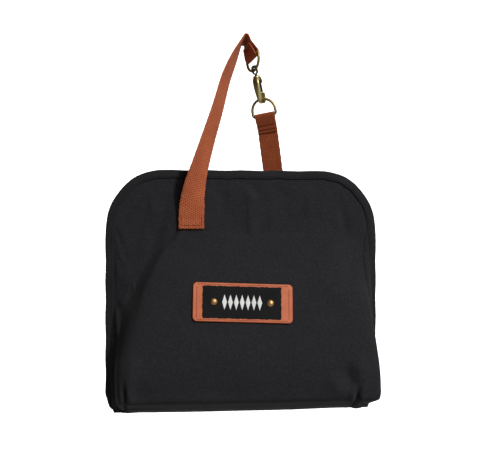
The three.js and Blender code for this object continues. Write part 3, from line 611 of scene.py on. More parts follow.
# Folds of the front face: knots in (x, z), relief outward and half-width.
FRONT_FOLDS = [
    ([(-64, 178.5), (-71, 172), (-78, 164)], -1.6, 2.6),
    ([(-60, 178), (-68, 168)], 0.9, 2.2),
    ([(-36, 224), (-24, 216), (-14, 206)], -1.5, 6),
    ([(-8, 226), (4, 218), (14, 205)], 1.3, 5),
    ([(2, 227), (10, 221), (16, 214)], -1.6, 4),
    ([(28, 226), (38, 218), (52, 208)], -1.5, 6),
    ([(60, 225), (68, 217), (80, 208)], 1.1, 6),
    ([(-98, 215), (-92, 205), (-82, 190)], 1.2, 7),
    ([(92, 214), (100, 196), (106, 176)], -1.4, 8),
    ([(112, 160), (106, 138), (100, 120)], -1.4, 7),
    ([(60, 190), (84, 170), (96, 148)], 1.0, 12),
    ([(-115, 26), (-104, 24), (-92, 28)], -1.4, 8),
    ([(-108, 60), (-112, 44), (-114, 30)], 1.3, 6),
    ([(94, 48), (99, 36), (103, 28)], -1.7, 5),
    ([(78, 40), (86, 28), (96, 19)], 1.6, 7),
    ([(108, 60), (110, 44), (112, 30)], 1.4, 6),
    ([(-90, 22), (-40, 24), (20, 21), (80, 23)], -0.9, 7),
    ([(-60, 66), (-10, 58), (40, 62)], 0.8, 16),
]
FOLD_STRENGTH = 1.5
# The darts sewn into the bottom corners, and the cloth that swells beside them.
DARTS = [
    ([(-119.2, 35), (-118.2, 25), (-117.4, 15), (-116.6, 2)], -4.2, 1.7),
    ([(108.2, 27), (106.6, 20), (106.8, 12), (107.5, 2)], -4.6, 2.1),
    ([(-114, 34), (-112.6, 24), (-112, 14)], 1.8, 3.4),
    ([(103, 27), (101.6, 20), (101.6, 11)], 2.8, 3.0),
    ([(113, 30), (112, 20), (112, 12)], 1.2, 3.2),
]
SLACK_LINE = [(-58, 190), (-70, 174), (-81, 156), (-91, 137), (-100, 117), (-109, 92)]

SETTLING = {
    "quality": 6,
    "mass": 0.35,
    "tension_stiffness": 40,
    "compression_stiffness": 40,
    "shear_stiffness": 12,
    "bending_stiffness": 3,
    "air_damping": 2,
    "shrink_min": -0.005,
    "vertex_group_mass": "held",
    "use_pressure": True,
    "uniform_pressure_force": 0.25,
}
SETTLE_FRAMES = 16
SETTLE_STEP = 2  # the simulation moves every second row and column
SETTLE_MOST = 2.2  # furthest that it may move the cloth


def nearest_knot(x, z, knots):
    """How far points (x, z) are from a line of knots, and the number of the nearest one."""
    gap = np.hypot(x[..., None] - knots[:, 0], z[..., None] - knots[:, 1])
    return gap.min(axis=-1), gap.argmin(axis=-1)


def fold(x, z, line, height, width):
    """The relief of one fold along a line of (x, z) knots, fading at both ends."""
    knots = catmull(line, 40)
    gap, nearest = nearest_knot(x, z, knots)
    fade = np.sin(np.pi * (0.04 + 0.92 * nearest / (len(knots) - 1))) ** 0.7
    return height * fade * np.exp(-((gap / width) ** 2))


def slack(x, z):
    """The slack cloth beside the handle's sewn end: it falls back from a crisp diagonal fold."""
    knots = catmull(SLACK_LINE, 60)
    ahead = directions(knots)
    _, nearest = nearest_knot(x, z, knots)
    off = (x - knots[nearest, 0]) * ahead[nearest, 1] - (z - knots[nearest, 1]) * ahead[nearest, 0]
    behind = np.maximum(off, 0)
    hollow = behind * np.exp(-((behind / 17) ** 2))
    way = nearest / (len(knots) - 1)
    fade = ease(way, 0.3) * ease(1 - way, 0.25)
    return fade * (0.8 * np.exp(-((off / 5) ** 2)) - 0.75 * hollow)


def centre_profile():
    """Rows of (height, depth) down the middle of the front face, closer together at the bottom."""
    line = smooth_run(resample(DEPTHS, 700), 3.2)
    along = distances(line)
    return read(line, np.linspace(0, 1, SHELL_ROWS) ** 1.12 * along[-1], along)


def section(z, depth):
    """One horizontal section (x, y) of the shell, from the left binding round the face to the right one."""
    side = float(half_width(z, BAND - 1.5)) - 5 * (1 - float(ease(z, 11)))
    boxed = max(depth - EDGE_DEPTH, 0.0)  # how far the face stands in front of its edge
    upper = np.clip((z - 60) / 120, 0, 1)
    line = [(-side - 3.5, -8.0), (-side, -8.2)]
    for sign, table in ((-1, CREASE_LEFT), (1, CREASE_RIGHT)):
        crease = min(float(np.interp(z, *table.T)), side - 0.6 + 7 * min(boxed / 36, 1))
        shelf = math.exp(-(((z - 116) / 42) ** 2)) if sign < 0 else 0.0  # flat cloth beside the binding
        run = [
            (sign * (side - 0.3 - 7 * shelf), -EDGE_DEPTH - 0.14 * boxed * (1 - 0.7 * shelf)),
            (sign * crease, -(EDGE_DEPTH + boxed * (0.94 - 0.2 * upper + 0.1 * shelf))),
            (sign * crease * (0.9 - 0.16 * upper), -depth),
        ]
        line += run if sign < 0 else run[::-1]
    line += [(side, -8.2), (side + 3.5, -8.0)]
    line = resample(np.array(line, float), 460)
    line = smooth_run(line, np.interp(z, *SOFTNESS.T) / np.linalg.norm(line[1] - line[0]))
    along = distances(line)
    return read(line, (0.5 + 0.5 * packed(SHELL_COLS, 1.28)) * along[-1], along)


def shell_grid():
    """The front half's outer surface as a grid of points, with its folds."""
    grid = np.array([points(*section(z, depth).T, z) for z, depth in centre_profile()])
    x, y, z = np.moveaxis(grid, 2, 0)
    normal = grid_normals(grid)
    face = np.clip(-normal[..., 1] * 1.6 - 0.3, 0, 1)  # 1 on the face, 0 on the cloth that turns to its sides
    free = np.clip((-y - 8.6) / 2.0, 0, 1)  # 0 where the cloth is sewn down
    relief = FOLD_STRENGTH * sum(fold(x, z, *each) for each in FRONT_FOLDS) + slack(x, z)
    ripple = 0.35 * np.sin(x / 13 + np.sin(z / 21) * 1.4) * np.sin(z / 17 + x / 60)
    darts = sum(fold(x, z, *each) for each in DARTS)
    return grid + normal * (((relief + ripple) * face + darts) * free)[..., None]


def settle(grid):
    """Lets the front's cloth sag a little in a cloth simulation with its sewn borders held."""
    coarse = grid[::SETTLE_STEP, ::SETTLE_STEP]
    rows, cols = coarse.shape[:2]
    mesh = bpy.data.meshes.new("settling")
    mesh.from_pydata((coarse.reshape(-1, 3) * MM).tolist(), [], grid_faces(rows, cols))
    piece = added("settling", mesh)
    row, col = np.divmod(np.arange(rows * cols), cols)
    border = (row < 2) | (row >= rows - 4) | (col < 5) | (col >= cols - 5)
    held = piece.vertex_groups.new(name="held")
    held.add(np.flatnonzero(border).tolist(), 1.0, "REPLACE")
    cloth = piece.modifiers.new("cloth", "CLOTH")
    for key, value in SETTLING.items():
        setattr(cloth.settings, key, value)
    cloth.point_cache.frame_end = SETTLE_FRAMES
    for number in range(1, SETTLE_FRAMES + 1):
        bpy.context.scene.frame_set(number)
    settled = piece.evaluated_get(bpy.context.evaluated_depsgraph_get())
    after = np.zeros(coarse.size)
    settled.data.vertices.foreach_get("co", after)
    shift = after.reshape(coarse.shape) / MM - coarse
    bpy.data.objects.remove(piece)
    bpy.context.scene.frame_set(1)
    far = np.linalg.norm(shift, axis=2, keepdims=True)
    shift = shift * np.minimum(1, SETTLE_MOST / np.maximum(far, 1e-6))
    for count in (grid.shape[1], grid.shape[0]):  # back to all columns, then to all rows
        stops = np.arange(shift.shape[1])
        shift = np.stack([read(line, np.arange(count) / SETTLE_STEP, stops) for line in shift], axis=1)
    return grid + shift


shell = settle(shell_grid())
shell_out = grid_normals(shell)
shell_tree = BVHTree.FromPolygons(shell.reshape(-1, 3).tolist(), grid_faces(SHELL_ROWS, SHELL_COLS))


def on_shell(x, z):
    """The point of the front face at (x, z)."""
    return np.array(shell_tree.ray_cast(Vector((x, -200, z)), Vector((0, 1, 0)))[0])


def upward(x, low, high):
    """The direction up the front face between two heights."""
    low, high = on_shell(x, low), on_shell(x, high)
    return unit((0, high[1] - low[1], high[2] - low[2]))


def add_front_shell():
    solid = close_grids(shell, shell - shell_out * SHELL_THICK)
    make("front_shell", solid, BLACK_CLOTH, "front_half", "outer_cloth", "front_panel", sharp=75)
    skin, out = shell[6:, 7:-7], shell_out[6:, 7:-7]  # the lining ends inside the bindings
    solid = close_grids(skin - out * 1.6, skin - out * 2.1)
    make("front_lining_cloth", solid, LINING_CLOTH, "front_half", "lining", "front_lining", sharp=75)


# ---------------------------------------------------------------- bindings and zip
BAND_TURN = BAND - 1.6  # from the edge to the seam along a binding
TAPE_INSET = 5.4  # the zip's tape and coil: inset from the edge, and depth from the plane of the zip
TAPE_DEPTH = 3.0
COIL_INSET = 3.85
COIL_DEPTH = 1.7
COIL_PITCH = 1.25
COIL_STEP = 0.16  # along the zip, from point to point of the spiral


def binding_profile():
    """Section of the folded tape, as (outward from the edge, towards the face)."""
    far, skin = BINDING_FAR - BINDING_NEAR, 0.9
    outer = [(-BAND, 0), (-1.6, 0), (-0.55, 0.35), (-0.05, 1.2)]
    inner = [(-BAND, skin), (-1.9, skin), (-1.2, 1.6)]
    outer = [(a, far - b) for a, b in outer] + outer[::-1]
    return np.array(outer + inner + [(a, far - b) for a, b in inner[::-1]])


def add_binding(name, side, body):
    line, outward = outline(9.0, 1.8)
    steps = np.arange(len(line))
    facing = np.array([0.0, side, 0.0])
    wave = 0.22 * np.sin(steps * 0.31) + rng.normal(0, 0.05, len(line))
    pulled = 2.4 * ease(21 - line[:, 2], 12)  # the band's feet are drawn in
    base = line + facing * BINDING_NEAR + outward * (wave - pulled)[:, None]
    profiles = np.repeat(binding_profile()[None], len(line), axis=0)
    pinch = 0.25 * np.sin(steps * 0.55) + rng.normal(0, 0.06, len(line))
    profiles[:, [0, -1], 0] += pinch[:, None] * 0.8
    profiles[:, 1, 1] += 0.12 * pinch
    make(name + "_tape", sweep(base, outward, facing, profiles), BINDING_TAPE, body, "binding", name, sharp=60)
    seam = Batch()
    path = line - outward * (BAND_TURN + pulled)[:, None] + facing * (BINDING_FAR + 0.05)
    stitches(seam, path, facing, length=2.5, pitch=3.4, radius=0.27)
    seam.make(name + "_stitches", BLACK_THREAD, body, "binding")


def add_zip_half(half, side, body):
    """One side's tape, and its coil as a fine spiral of nylon."""
    facing = np.array([0.0, side, 0.0])
    line, outward = outline(24.0, 2.0)
    middle = line - outward * TAPE_INSET + facing * TAPE_DEPTH
    solid = sweep(middle, outward, facing, tape_profile(4.4, 0.7)[:, ::-1])
    make(f"{half}_zip_tape_cloth", solid, ZIP_TAPE, body, "zip_tape", f"{half}_zip_tape")
    line, outward = outline(24.6, COIL_STEP)
    turn = (np.arange(len(line)) * COIL_STEP * 2 * np.pi / COIL_PITCH)[:, None]
    wire = line - outward * (COIL_INSET - 0.62 * np.cos(turn)) + facing * (COIL_DEPTH + 0.72 * np.sin(turn))
    tube(f"{half}_zip_teeth", wire, 0.2, ZIP_NYLON, body, "zip_coil", f"{half}_zip_coil", sides=5)


# ---------------------------------------------------------------- flat pieces in the bag's outline
# Where the layers lie, from the plane of the zip: the cover's behind it, the pocket's in front.
COVER_BACK = 8.3
COVER_NEAR = 7.6
BOARD_BACK = 8.4
BOARD_NEAR = 7.7
LINING_NEAR = 6.75
LINING_THICK = 0.5
PAD_BACK = 6.2
PAD_NEAR = 5.6
POCKET_AT = -5.9
HEM_AT = -5.35


def arch_grid(inset, foot, rows=70, cols=90, foot_round=8.0):
    """Grid of (x, z) over the bag's outline, with round bottom corners."""
    low = foot + foot_round * (1 - np.cos(np.linspace(0, np.pi / 2, 8)))
    high = SPRING + (CORNER_Z - inset) * np.sin(np.linspace(0, np.pi / 2, 26))
    middle = np.linspace(foot + foot_round, SPRING, rows - len(low) - len(high) + 2)[1:-1]
    z = np.concatenate([low, middle, high])
    dip = np.clip(foot + foot_round - z, 0, foot_round)
    half = half_width(z, inset) - foot_round + np.sqrt(np.maximum(foot_round**2 - dip**2, 0))
    return half[:, None] * packed(cols, 1.3), np.repeat(z[:, None], cols, axis=1)


def edge_gap(x, z, inset, foot):
    """About how far a point is inside the outline."""
    sides = half_width(z, inset) - np.abs(x)
    return np.minimum(np.minimum(sides, z - foot), (HEIGHT - inset) - z)


def wrinkle(x, z, size, seed):
    """Gentle uneven relief between about -1 and 1."""
    draw = np.random.default_rng(seed)
    total = np.zeros_like(x)
    for _ in range(7):
        angle = draw.uniform(0, np.pi)
        period = size * draw.uniform(0.6, 1.8)
        phase = draw.uniform(0, 2 * np.pi)
        total += np.sin((x * np.cos(angle) + z * np.sin(angle)) * 2 * np.pi / period + phase)
    return total / 4


def add_rear_panel():
    """The padded cover: outer cloth drawn down to its binding, the foam board in it and the lining."""
    x, z = arch_grid(3.2, 0.3, foot_round=5)
    gap = edge_gap(x, z, 1.6, 0.3)
    swell = 4.4 * ease(gap - BAND + 1.5, 15) + 0.55 * wrinkle(x, z, 90, 3) * ease(gap - BAND, 24)
    pull = np.sin((x + 0.6 * z) / 7.5 + np.sin(z / 19)) * np.exp(-(((gap - BAND - 6) / 7) ** 2))
    swell += 0.28 * pull - 0.8 * fold(x, z, [(-50, 200), (-20, 150), (10, 110)], 1, 16)
    swell -= 0.8 * fold(x, z, [(90, 190), (70, 120), (80, 50)], 1, 18)
    near = points(x, COVER_NEAR + 2.6 * ease(gap - BAND - 1, 12), z)
    solid = close_grids(points(x, COVER_BACK + swell, z), near)
    panel = make("rear_cover_cloth", solid, BLACK_CLOTH, "rear_cover", "outer_cloth", "rear_panel", sharp=75)
    x, z = arch_grid(BAND + 6, 15)
    back = points(x, BOARD_BACK + 1.7 * ease(edge_gap(x, z, BAND + 6, 15), 9), z)
    solid = close_grids(back, points(x, BOARD_NEAR, z))
    board = make("rear_foam_board", solid, FOAM, "rear_cover", "stiffener", "rear_stiffener")
    x, z = arch_grid(BAND + 1, 4)
    wave = 0.35 * wrinkle(x, z, 60, 5) * ease(edge_gap(x, z, 1.6, 4) - BAND, 12)
    near = points(x, LINING_NEAR - np.abs(wave) * 0.4, z)
    solid = close_grids(near + (0, LINING_THICK, 0), near)
    make("rear_lining_cloth", solid, LINING_CLOTH, "rear_cover", "lining", "rear_lining")


def add_changing_pad():
    """The wipeable pad: quilted in diamonds and crowned between its seams."""
    inset, foot, pitch = 14.5, 12.5, 30.0
    x, z = arch_grid(inset, foot, rows=110, cols=150)
    gap = edge_gap(x, z, inset, foot)
    seams = [np.abs((way / pitch) % 1 - 0.5) * 2 for way in (x + z, x - z)]
    quilt = ease(1 - np.maximum(*seams), 0.45)
    puff = 1.1 * ease(gap, 2.0) + 2.2 * ease(gap - 5, 4) * (0.25 + 0.75 * quilt)
    solid = close_grids(points(x, PAD_BACK, z), points(x, PAD_NEAR - puff, z))
    pad = make("quilted_pad", solid, PAD_CLOTH, "rear_cover", "pad", "changing_pad", sharp=80)


def add_inner_pocket():
    """The gathered pocket inside the front half, with its elastic."""
    half, foot, top, plain = 115.0, 4.0, 122.5, 25  # the gathers begin above a plain strip
    x = np.linspace(-half, half, 200)
    x, z = np.meshgrid(x, np.linspace(foot, top, 60))
    climb = ease(z - foot - plain, top - foot - plain)
    gather = 2.4 * climb * (np.abs(np.sin(x / 6.1 + 0.9 * np.sin(x / 23))) - 0.3) * (1 - (x / half) ** 8)
    near = points(x, POCKET_AT - gather, z)
    solid = close_grids(near, near - (0, LINING_THICK, 0))
    pocket = make("pocket_cloth", solid, LINING_CLOTH, "front_half", "lining", "inner_pocket")
    x, z = np.meshgrid(x[0], np.linspace(top + 0.3, top + 8, 12))
    near = points(x, HEM_AT + 0.175 * np.sin(x / 1.15) * (0.6 + 0.4 * np.sin(z * 1.9)), z)
    verts, faces = close_grids(near, near - (0, 0.8, 0))
    solid = verts, faces, verts[:, [2, 0]]
    hem = make("pocket_elastic_hem", solid, ELASTIC, "front_half", "elastic", "pocket_elastic")


def add_gusset():
    """The fold along the bottom that joins both halves."""
    reach, depth = HALF - BAND - 3.5, 6.3
    x, y = np.meshgrid(np.linspace(-reach, reach, 80), np.linspace(-depth, depth, 18))
    sag = 0.9 - 0.9 * (y / depth) ** 2
    top = points(x, y, 1.7 - sag + 0.12 * wrinkle(x, y * 4, 40, 9))
    solid = close_grids(top, top - (0, 0, 0.8))
    strip = make("bottom_gusset_cloth", solid, BLACK_CLOTH, None, "outer_cloth", "bottom_gusset")
    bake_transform(strip)


def add_zip_ends():
    """The small sewn tabs that close the zip's two ends."""
    bulge = 1 + 0.25 * np.sin(np.linspace(0, np.pi, 12))
    profiles = np.array([tape_profile(5.4, 2.2 * b) for b in bulge])
    for name, side in (("zip_end_tab_left", -1), ("zip_end_tab_right", 1)):
        centres = points(side * (HALF - 4.4), -2.3, np.linspace(6.2, 23.4, len(bulge)))
        solid = sweep(centres, (0.0, 1.0, 0.0), (1.0, 0.0, 0.0), profiles)
        make(name + "_cloth", solid, BINDING_TAPE, "front_half", "outer_cloth", name)


# ---------------------------------------------------------------- webbing
STRAP_WIDTH = 25.0
STRAP_THICK = 1.4
TAB_WIDTH = 20.0
LOOP_WIDTH = TAB_WIDTH + 1
WIRE = 1.4  # radius of the rings' wire
GAP = 0.3
STRAP_END_X = -51.5
STRAP_FOOT = 179.5
STRAP_LAP = 199.8
APEX = np.array([2.7, 0, HEIGHT + 129.5])
APEX_RADIUS = 2.2
UPPER_BAR = np.array([10.6, 0, HEIGHT + 114.5])
REAR_BAR = np.array([23.8, 4, HEIGHT + 55.8])
TAB_ROOT = np.array([33.6, 13.4, HEIGHT + 1.5])
FOLD_LINE = unit((-0.04, 0.95, -0.3))
UPPER_BAR_WAY = unit((0.355, -0.88, 0.312))
REAR_BAR_WAY = unit((0.927, -0.337, 0.163))
TAB_SEWN = 24  # how far the tab's foot runs down the cover
# The handle from its sewn end to the apex: x, y, height over the bag's top and its turn in degrees.
HANDLE_KNOTS = [
    (-51, -14.4, -36, 3),
    (-50, -15.8, -27, 15),
    (-48, -17.6, -15, 28),
    (-44, -19.4, 1, 42),
    (-35.2, -16, 30, 52),
    (-25.6, -11.5, 60, 58),
    (-17, -6.5, 90, 63),
    (-8.6, -3, 111, 70),
]


def turn_stops(centre, u, v, radius, start, end, steps, across, width):
    """Stops on a circular turn between two unit vectors, angles in degrees."""
    turn = np.radians(np.linspace(start, end, steps + 1))
    return [(centre + u * radius * math.cos(a) + v * radius * math.sin(a), across, width) for a in turn]


def ribbon(name, stops, material, body, *stands_for):
    """Webbing along stops of (middle, direction across, width), with slightly uneven edges."""
    middles, ways, widths = (np.array(column) for column in zip(*stops))
    along = distances(middles)
    even = np.linspace(0, along[-1], max(int(along[-1] / 1.3), 8))
    places = np.unique(np.concatenate([even, along]))
    centres = read(middles, places, along)
    sides = read(ways, places, along)
    sides /= np.linalg.norm(sides, axis=1, keepdims=True)
    outs = np.cross(directions(centres), sides)
    outs /= np.linalg.norm(outs, axis=1, keepdims=True)
    widths = np.interp(places, along, widths)[:, None]
    profiles = np.repeat(tape_profile(STRAP_WIDTH, STRAP_THICK, 18)[None], len(centres), axis=0)
    reach = profiles[..., 0] * (widths / STRAP_WIDTH)
    wander = 0.14 * np.sin(places * 0.9) + 0.1 * np.sin(places * 2.3 + 1)
    profiles[..., 0] = reach + np.sign(reach) * wander[:, None] * (np.abs(reach) > 0.42 * widths)
    verts, faces, layout = sweep(centres, sides, outs, profiles)
    layout[:, 1] = np.repeat(places, profiles.shape[1])
    return make(name, (verts, faces, layout), material, body, "webbing", *stands_for, sharp=70)


def add_front_strap():
    """The handle: sewn to the front, folded at its apex and looped round the upper ring's bar."""
    level = np.array([1.0, 0, 0])
    up = upward(STRAP_END_X, STRAP_FOOT, STRAP_LAP)
    out = np.cross(level, up)
    foot = np.array([STRAP_END_X, on_shell(STRAP_END_X, STRAP_FOOT)[1], STRAP_FOOT])
    turn = (STRAP_THICK + 0.1) / 2
    lap = STRAP_LAP - STRAP_FOOT
    under = 0.2 + STRAP_THICK / 2

    def on_strap(rise, off):
        return foot + up * rise + out * off

    sewn = [(on_strap(lap, under), level, STRAP_WIDTH)]
    sewn += turn_stops(on_strap(1, under + turn), out, -up, turn, 180, 0, 6, level, STRAP_WIDTH)
    sewn.append((on_strap(lap / 2, under + 2 * turn), level, STRAP_WIDTH))
    climb = unit((0.33, 0.1, 0.94))
    knots = []
    for x, y, rise, degrees in HANDLE_KNOTS:
        angle = math.radians(degrees)
        way = level if degrees < 10 else square((math.cos(angle), math.sin(angle), 0), climb)
        knots.append([x, y, HEIGHT + rise, *way])
    up_way = square((0, 0, 1), FOLD_LINE)
    right_way = unit(np.cross(FOLD_LINE, up_way))
    top = turn_stops(APEX, right_way, up_way, APEX_RADIUS, 170, 10, 12, FOLD_LINE, STRAP_WIDTH)
    knots.append([*top[0][0], *FOLD_LINE])
    rise = [(p[:3], unit(p[3:]), STRAP_WIDTH) for p in catmull(knots, 90)]

    bar = -UPPER_BAR_WAY
    back = square(APEX - UPPER_BAR, UPPER_BAR_WAY)
    inward = unit(np.cross(UPPER_BAR_WAY, back))
    loop = WIRE + GAP + 0.1 + STRAP_THICK / 2

    def by_bar(up_by, off, aside=0.0):
        return UPPER_BAR + back * up_by + inward * off + bar * aside

    looped = turn_stops(UPPER_BAR, -inward, -back, loop, 0, 180, 12, bar, LOOP_WIDTH)
    down = [(top[-1][0], FOLD_LINE), (by_bar(11, -1.6), unit(FOLD_LINE * 0.5 + bar * 0.5))]
    down += [(by_bar(5.5, -2.1), unit(FOLD_LINE * 0.12 + bar * 0.88)), (looped[0][0], bar)]
    path = catmull([np.concatenate(stop) for stop in down], 22)[1:-1]
    widths = np.linspace(STRAP_WIDTH, LOOP_WIDTH, len(path))
    looped = [(p[:3], unit(p[3:]), width) for p, width in zip(path, widths)] + looped
    for up_by, off, share in ((4.5, 1.5, 0.1), (8, 0.7, 0.3), (12.4, 0.1, 0.6)):  # the end, folded in
        way = unit(FOLD_LINE * share + bar * (1 - share))
        looped.append((by_bar(up_by, off), way, TAB_WIDTH - 4 * share))
    stops = sewn + rise[:-1] + top + looped
    ribbon("handle_webbing", stops, FRONT_WEBBING, "front_half", "front_strap")
    seam = Batch()
    edge = STRAP_WIDTH / 2 - 2.6
    lift = under + 2 * turn + STRAP_THICK / 2
    box = [(-edge, 3), (edge, 3), (edge, lap - 1.5), (-edge, lap - 1.5), (-edge, 3)]
    for a, b in zip(box, box[1:]):
        high = 0.7 if min(a[1], b[1]) > lap / 2 else 0.0  # the top row, where the webbing lifts away
        ends = [on_strap(rise, lift + high) + level * x for x, rise in (a, b)]
        stitches(seam, np.linspace(*ends, 60), out, length=1.9, pitch=2.7, radius=0.36)
    for row in (6.2, 8.2):
        for face, off in ((1, 1.72), (-1, -2.35)):
            line = np.linspace(by_bar(row, off, -8.5), by_bar(row, off, 8.5), 30)
            stitches(seam, line, face * inward, length=2.0, pitch=2.6, radius=0.28)
    seam.make("handle_stitches", DARK_TAN_THREAD, "front_half", "webbing")


def add_rear_tab():
    """The back tab: one length of webbing sewn to the cover, looped round the ring and stitched twice."""
    across = REAR_BAR_WAY
    lean = (TAB_ROOT[0] - REAR_BAR[0]) / (TAB_ROOT[2] - REAR_BAR[2])
    level = unit((1, 0, -lean))
    up_way = square(REAR_BAR - TAB_ROOT, across)
    out = unit(np.cross(across, up_way))
    loop = WIRE + GAP + STRAP_THICK / 2
    layer = (STRAP_THICK + 0.15) / 2

    def by_bar(rise, off, aside=0.0):
        return REAR_BAR + up_way * rise + out * off + across * aside

    def on_cover(z):
        x = TAB_ROOT[0] + lean * (z - TAB_ROOT[2])
        return np.array([x, 12 + GAP + STRAP_THICK / 2 + 0.5, z])

    def looped(*spots):
        return [(by_bar(*spot), across, TAB_WIDTH) for spot in spots]

    start = by_bar(-12, -layer)
    sewn = [(on_cover(TAB_ROOT[2] - TAB_SEWN + 3 * i), level, TAB_WIDTH) for i in range(8)]
    mixed = [TAB_ROOT * 0.75 + start * 0.25, TAB_ROOT * 0.4 + start * 0.6]
    rise = catmull([on_cover(TAB_ROOT[2] - 3), TAB_ROOT + (0, 0.5, 0), *mixed, start], 14)[:-1]
    root = np.linspace(0, 1, 14)[:-1]
    free = [(p, unit(level * (1 - t) + across * t), TAB_WIDTH) for p, t in zip(rise, root)]
    stops = sewn + free + looped((-12, -layer), (-8, -layer), (-4, -1.8))
    stops += turn_stops(REAR_BAR, -out, up_way, loop, 0, 180, 12, across, TAB_WIDTH)
    stops += looped((-4, 1.8), (-9, layer), (-16.5, layer))
    piece = ribbon("rear_tab_webbing", stops, REAR_WEBBING_SHADED, None, "rear_tab", "rear_tab_foot")
    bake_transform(piece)
    seam = Batch()
    for row in (-9.2, -13.4):
        for face in (1, -1):
            lift = face * (layer + STRAP_THICK / 2 + 0.05)
            line = np.linspace(by_bar(row, lift, -8.8), by_bar(row, lift, 8.8), 30)
            stitches(seam, line, face * out, length=2.2, pitch=2.5, radius=0.45)
    seam.make("rear_tab_stitches", DARK_TAN_THREAD, "rear_tab", "webbing")
    seam = Batch()
    down = unit(on_cover(TAB_ROOT[2] - TAB_SEWN) - on_cover(TAB_ROOT[2] - 3))
    away = np.array([0.0, 1, 0])
    middle = on_cover(TAB_ROOT[2] - 13.5) + away * (STRAP_THICK / 2 + 0.05)
    box = [(-7.4, -7.5), (7.4, -7.5), (7.4, 8), (-7.4, 8), (-7.4, -7.5), (7.4, 8)]
    for a, b in zip(box, box[1:]):
        ends = [middle + level * x + down * fall for x, fall in (a, b)]
        stitches(seam, np.linspace(*ends, 60), away, length=2.0, pitch=2.7, radius=0.3)
    seam.make("rear_tab_box_stitches", DARK_TAN_THREAD, "rear_cover", "webbing")


# ---------------------------------------------------------------- label
LABEL_X = -3.1
LABEL_HEIGHT = 107.8
LABEL_TURN = math.radians(-2.1)
PATCH_SIZE = (97, 38)
WOVEN_SIZE = (76.5, 31.5)
LEATHER_TOP = 1.95  # where the thread and the woven label lie, off the cloth
MOTIF_LOW = 2.42
MOTIF_HIGH = 2.72
RIVET_OFF = 2.85


def label_frame():
    """Middle, across, up and outward directions of the label on the front face."""
    up = upward(LABEL_X, LABEL_HEIGHT - 17, LABEL_HEIGHT + 17)
    across = np.array([1.0, 0, 0])
    c, s = math.cos(LABEL_TURN), math.sin(LABEL_TURN)
    return on_shell(LABEL_X, LABEL_HEIGHT), across * c + up * s, up * c - across * s, np.cross(across, up)


def rounded_grid(width, height, corner, edge):
    """Grid over a rectangle with round corners, finer near its edges; gives x, y and the gap to the edge."""

    def stations(size):
        margin = max(corner, edge * 1.2)
        start = np.array([0, 0.08, 0.25, 0.55, 1.0]) * edge
        if corner > edge * 1.5:
            start = np.concatenate([start, np.linspace(edge * 1.4, corner, 4)[:-1]])
        between = np.linspace(margin, size - margin, int(size / 2.5))
        return np.unique(np.concatenate([start, between, size - start])) - size / 2

    x, y = np.meshgrid(stations(width), stations(height))
    gap = np.minimum(width / 2 - np.abs(x), height / 2 - np.abs(y))
    cx = np.abs(x) - (width / 2 - corner)
    cy = np.abs(y) - (height / 2 - corner)
    inside = (cx > 0) & (cy > 0)
    scale = np.where(inside, np.maximum(cx, cy) / np.maximum(np.hypot(cx, cy), 1e-9), 1)
    x = np.where(inside, np.sign(x) * (width / 2 - corner + cx * scale), x)
    y = np.where(inside, np.sign(y) * (height / 2 - corner + cy * scale), y)
    return x, y, gap


def slab(width, height, corner, thick, edge, low, at, edge_wave=None):
    """A thin plate with round edges on a place (middle, across, up, out); returns points and faces."""
    middle, across, up, out = at
    x, y, gap = rounded_grid(width, height, corner, edge)
    if edge_wave is not None:
        near = np.exp(-gap / 3)
        x = x + near * edge_wave(y) * np.sign(x) * (np.abs(x) > width / 2 - 6)
        y = y + near * edge_wave(x) * np.sign(y) * (np.abs(y) > height / 2 - 6)
    g = np.clip(gap / edge, 0, 1)
    drop = edge * (1 - np.sqrt(1 - (1 - g) ** 2)) * 0.9

    def lay(offset):
        return middle + x[..., None] * across + y[..., None] * up + offset[..., None] * out

    return close_grids(lay(low + thick - drop), lay(low + 0.5 * drop))


def add_label():
    """The leather patch with its stitching, and the woven label that two rivets hold on it."""
    middle, across, up, out = at = label_frame()
    solid = slab(*PATCH_SIZE, 4.0, 1.6, 0.7, 0.3, at)
    make("leather_patch", solid, TAN_LEATHER, "front_half", "leather", "label_patch", sharp=75)
    seam = Batch()

    def sew(start, end, **look):
        ends = [middle + across * x + up * y + out * LEATHER_TOP for x, y in (start, end)]
        stitches(seam, np.linspace(*ends, 80), out, **look)

    for side in (-44.8, 44.8):
        sew((side, -15.5), (side, 15.5), length=1.7, pitch=2.5, radius=0.25)
    for end in (-17.2, 17.2):
        sew((-44.08, end), (44.08, end), length=1.8, pitch=2.6, radius=0.2)
    seam.make("patch_stitches", DARK_TAN_THREAD, "front_half", "leather")

    def fray(t):
        return 0.28 * np.sin(t * 1.35) + 0.16 * np.sin(t * 2.9 + 1)

    woven = middle - across * 0.9
    verts, faces = slab(*WOVEN_SIZE, 1.0, 0.55, 0.25, LEATHER_TOP, (woven, across, up, out), fray)
    solid = verts, faces, (verts - middle) @ np.stack([across, up], axis=1)
    make("woven_label_cloth", solid, LABEL_WEAVE, "front_half", "woven_label", "woven_label", sharp=75)
    add_motif(woven, across, up, out)
    add_rivets(woven, across, up, out)


def add_motif(middle, across, up, out):
    """A woven row of plain lozenges."""
    motif = Batch()
    shape = np.array([(2.3, 0), (0, 7.4), (-2.3, 0), (0, -7.4)])
    for x in -17.1 + 5.7 * np.arange(7):
        verts = []
        for ring, off in ((shape, MOTIF_LOW), (shape, MOTIF_HIGH - 0.1), (0.86 * shape, MOTIF_HIGH)):
            verts += [middle + across * (x + a) + up * b + out * off for a, b in ring]
        motif.add(verts, grid_faces(3, 4, wrap=True) + [(3, 2, 1, 0), (8, 9, 10, 11)])
    motif.make("label_motif", MOTIF_THREAD, "front_half", "woven_label")


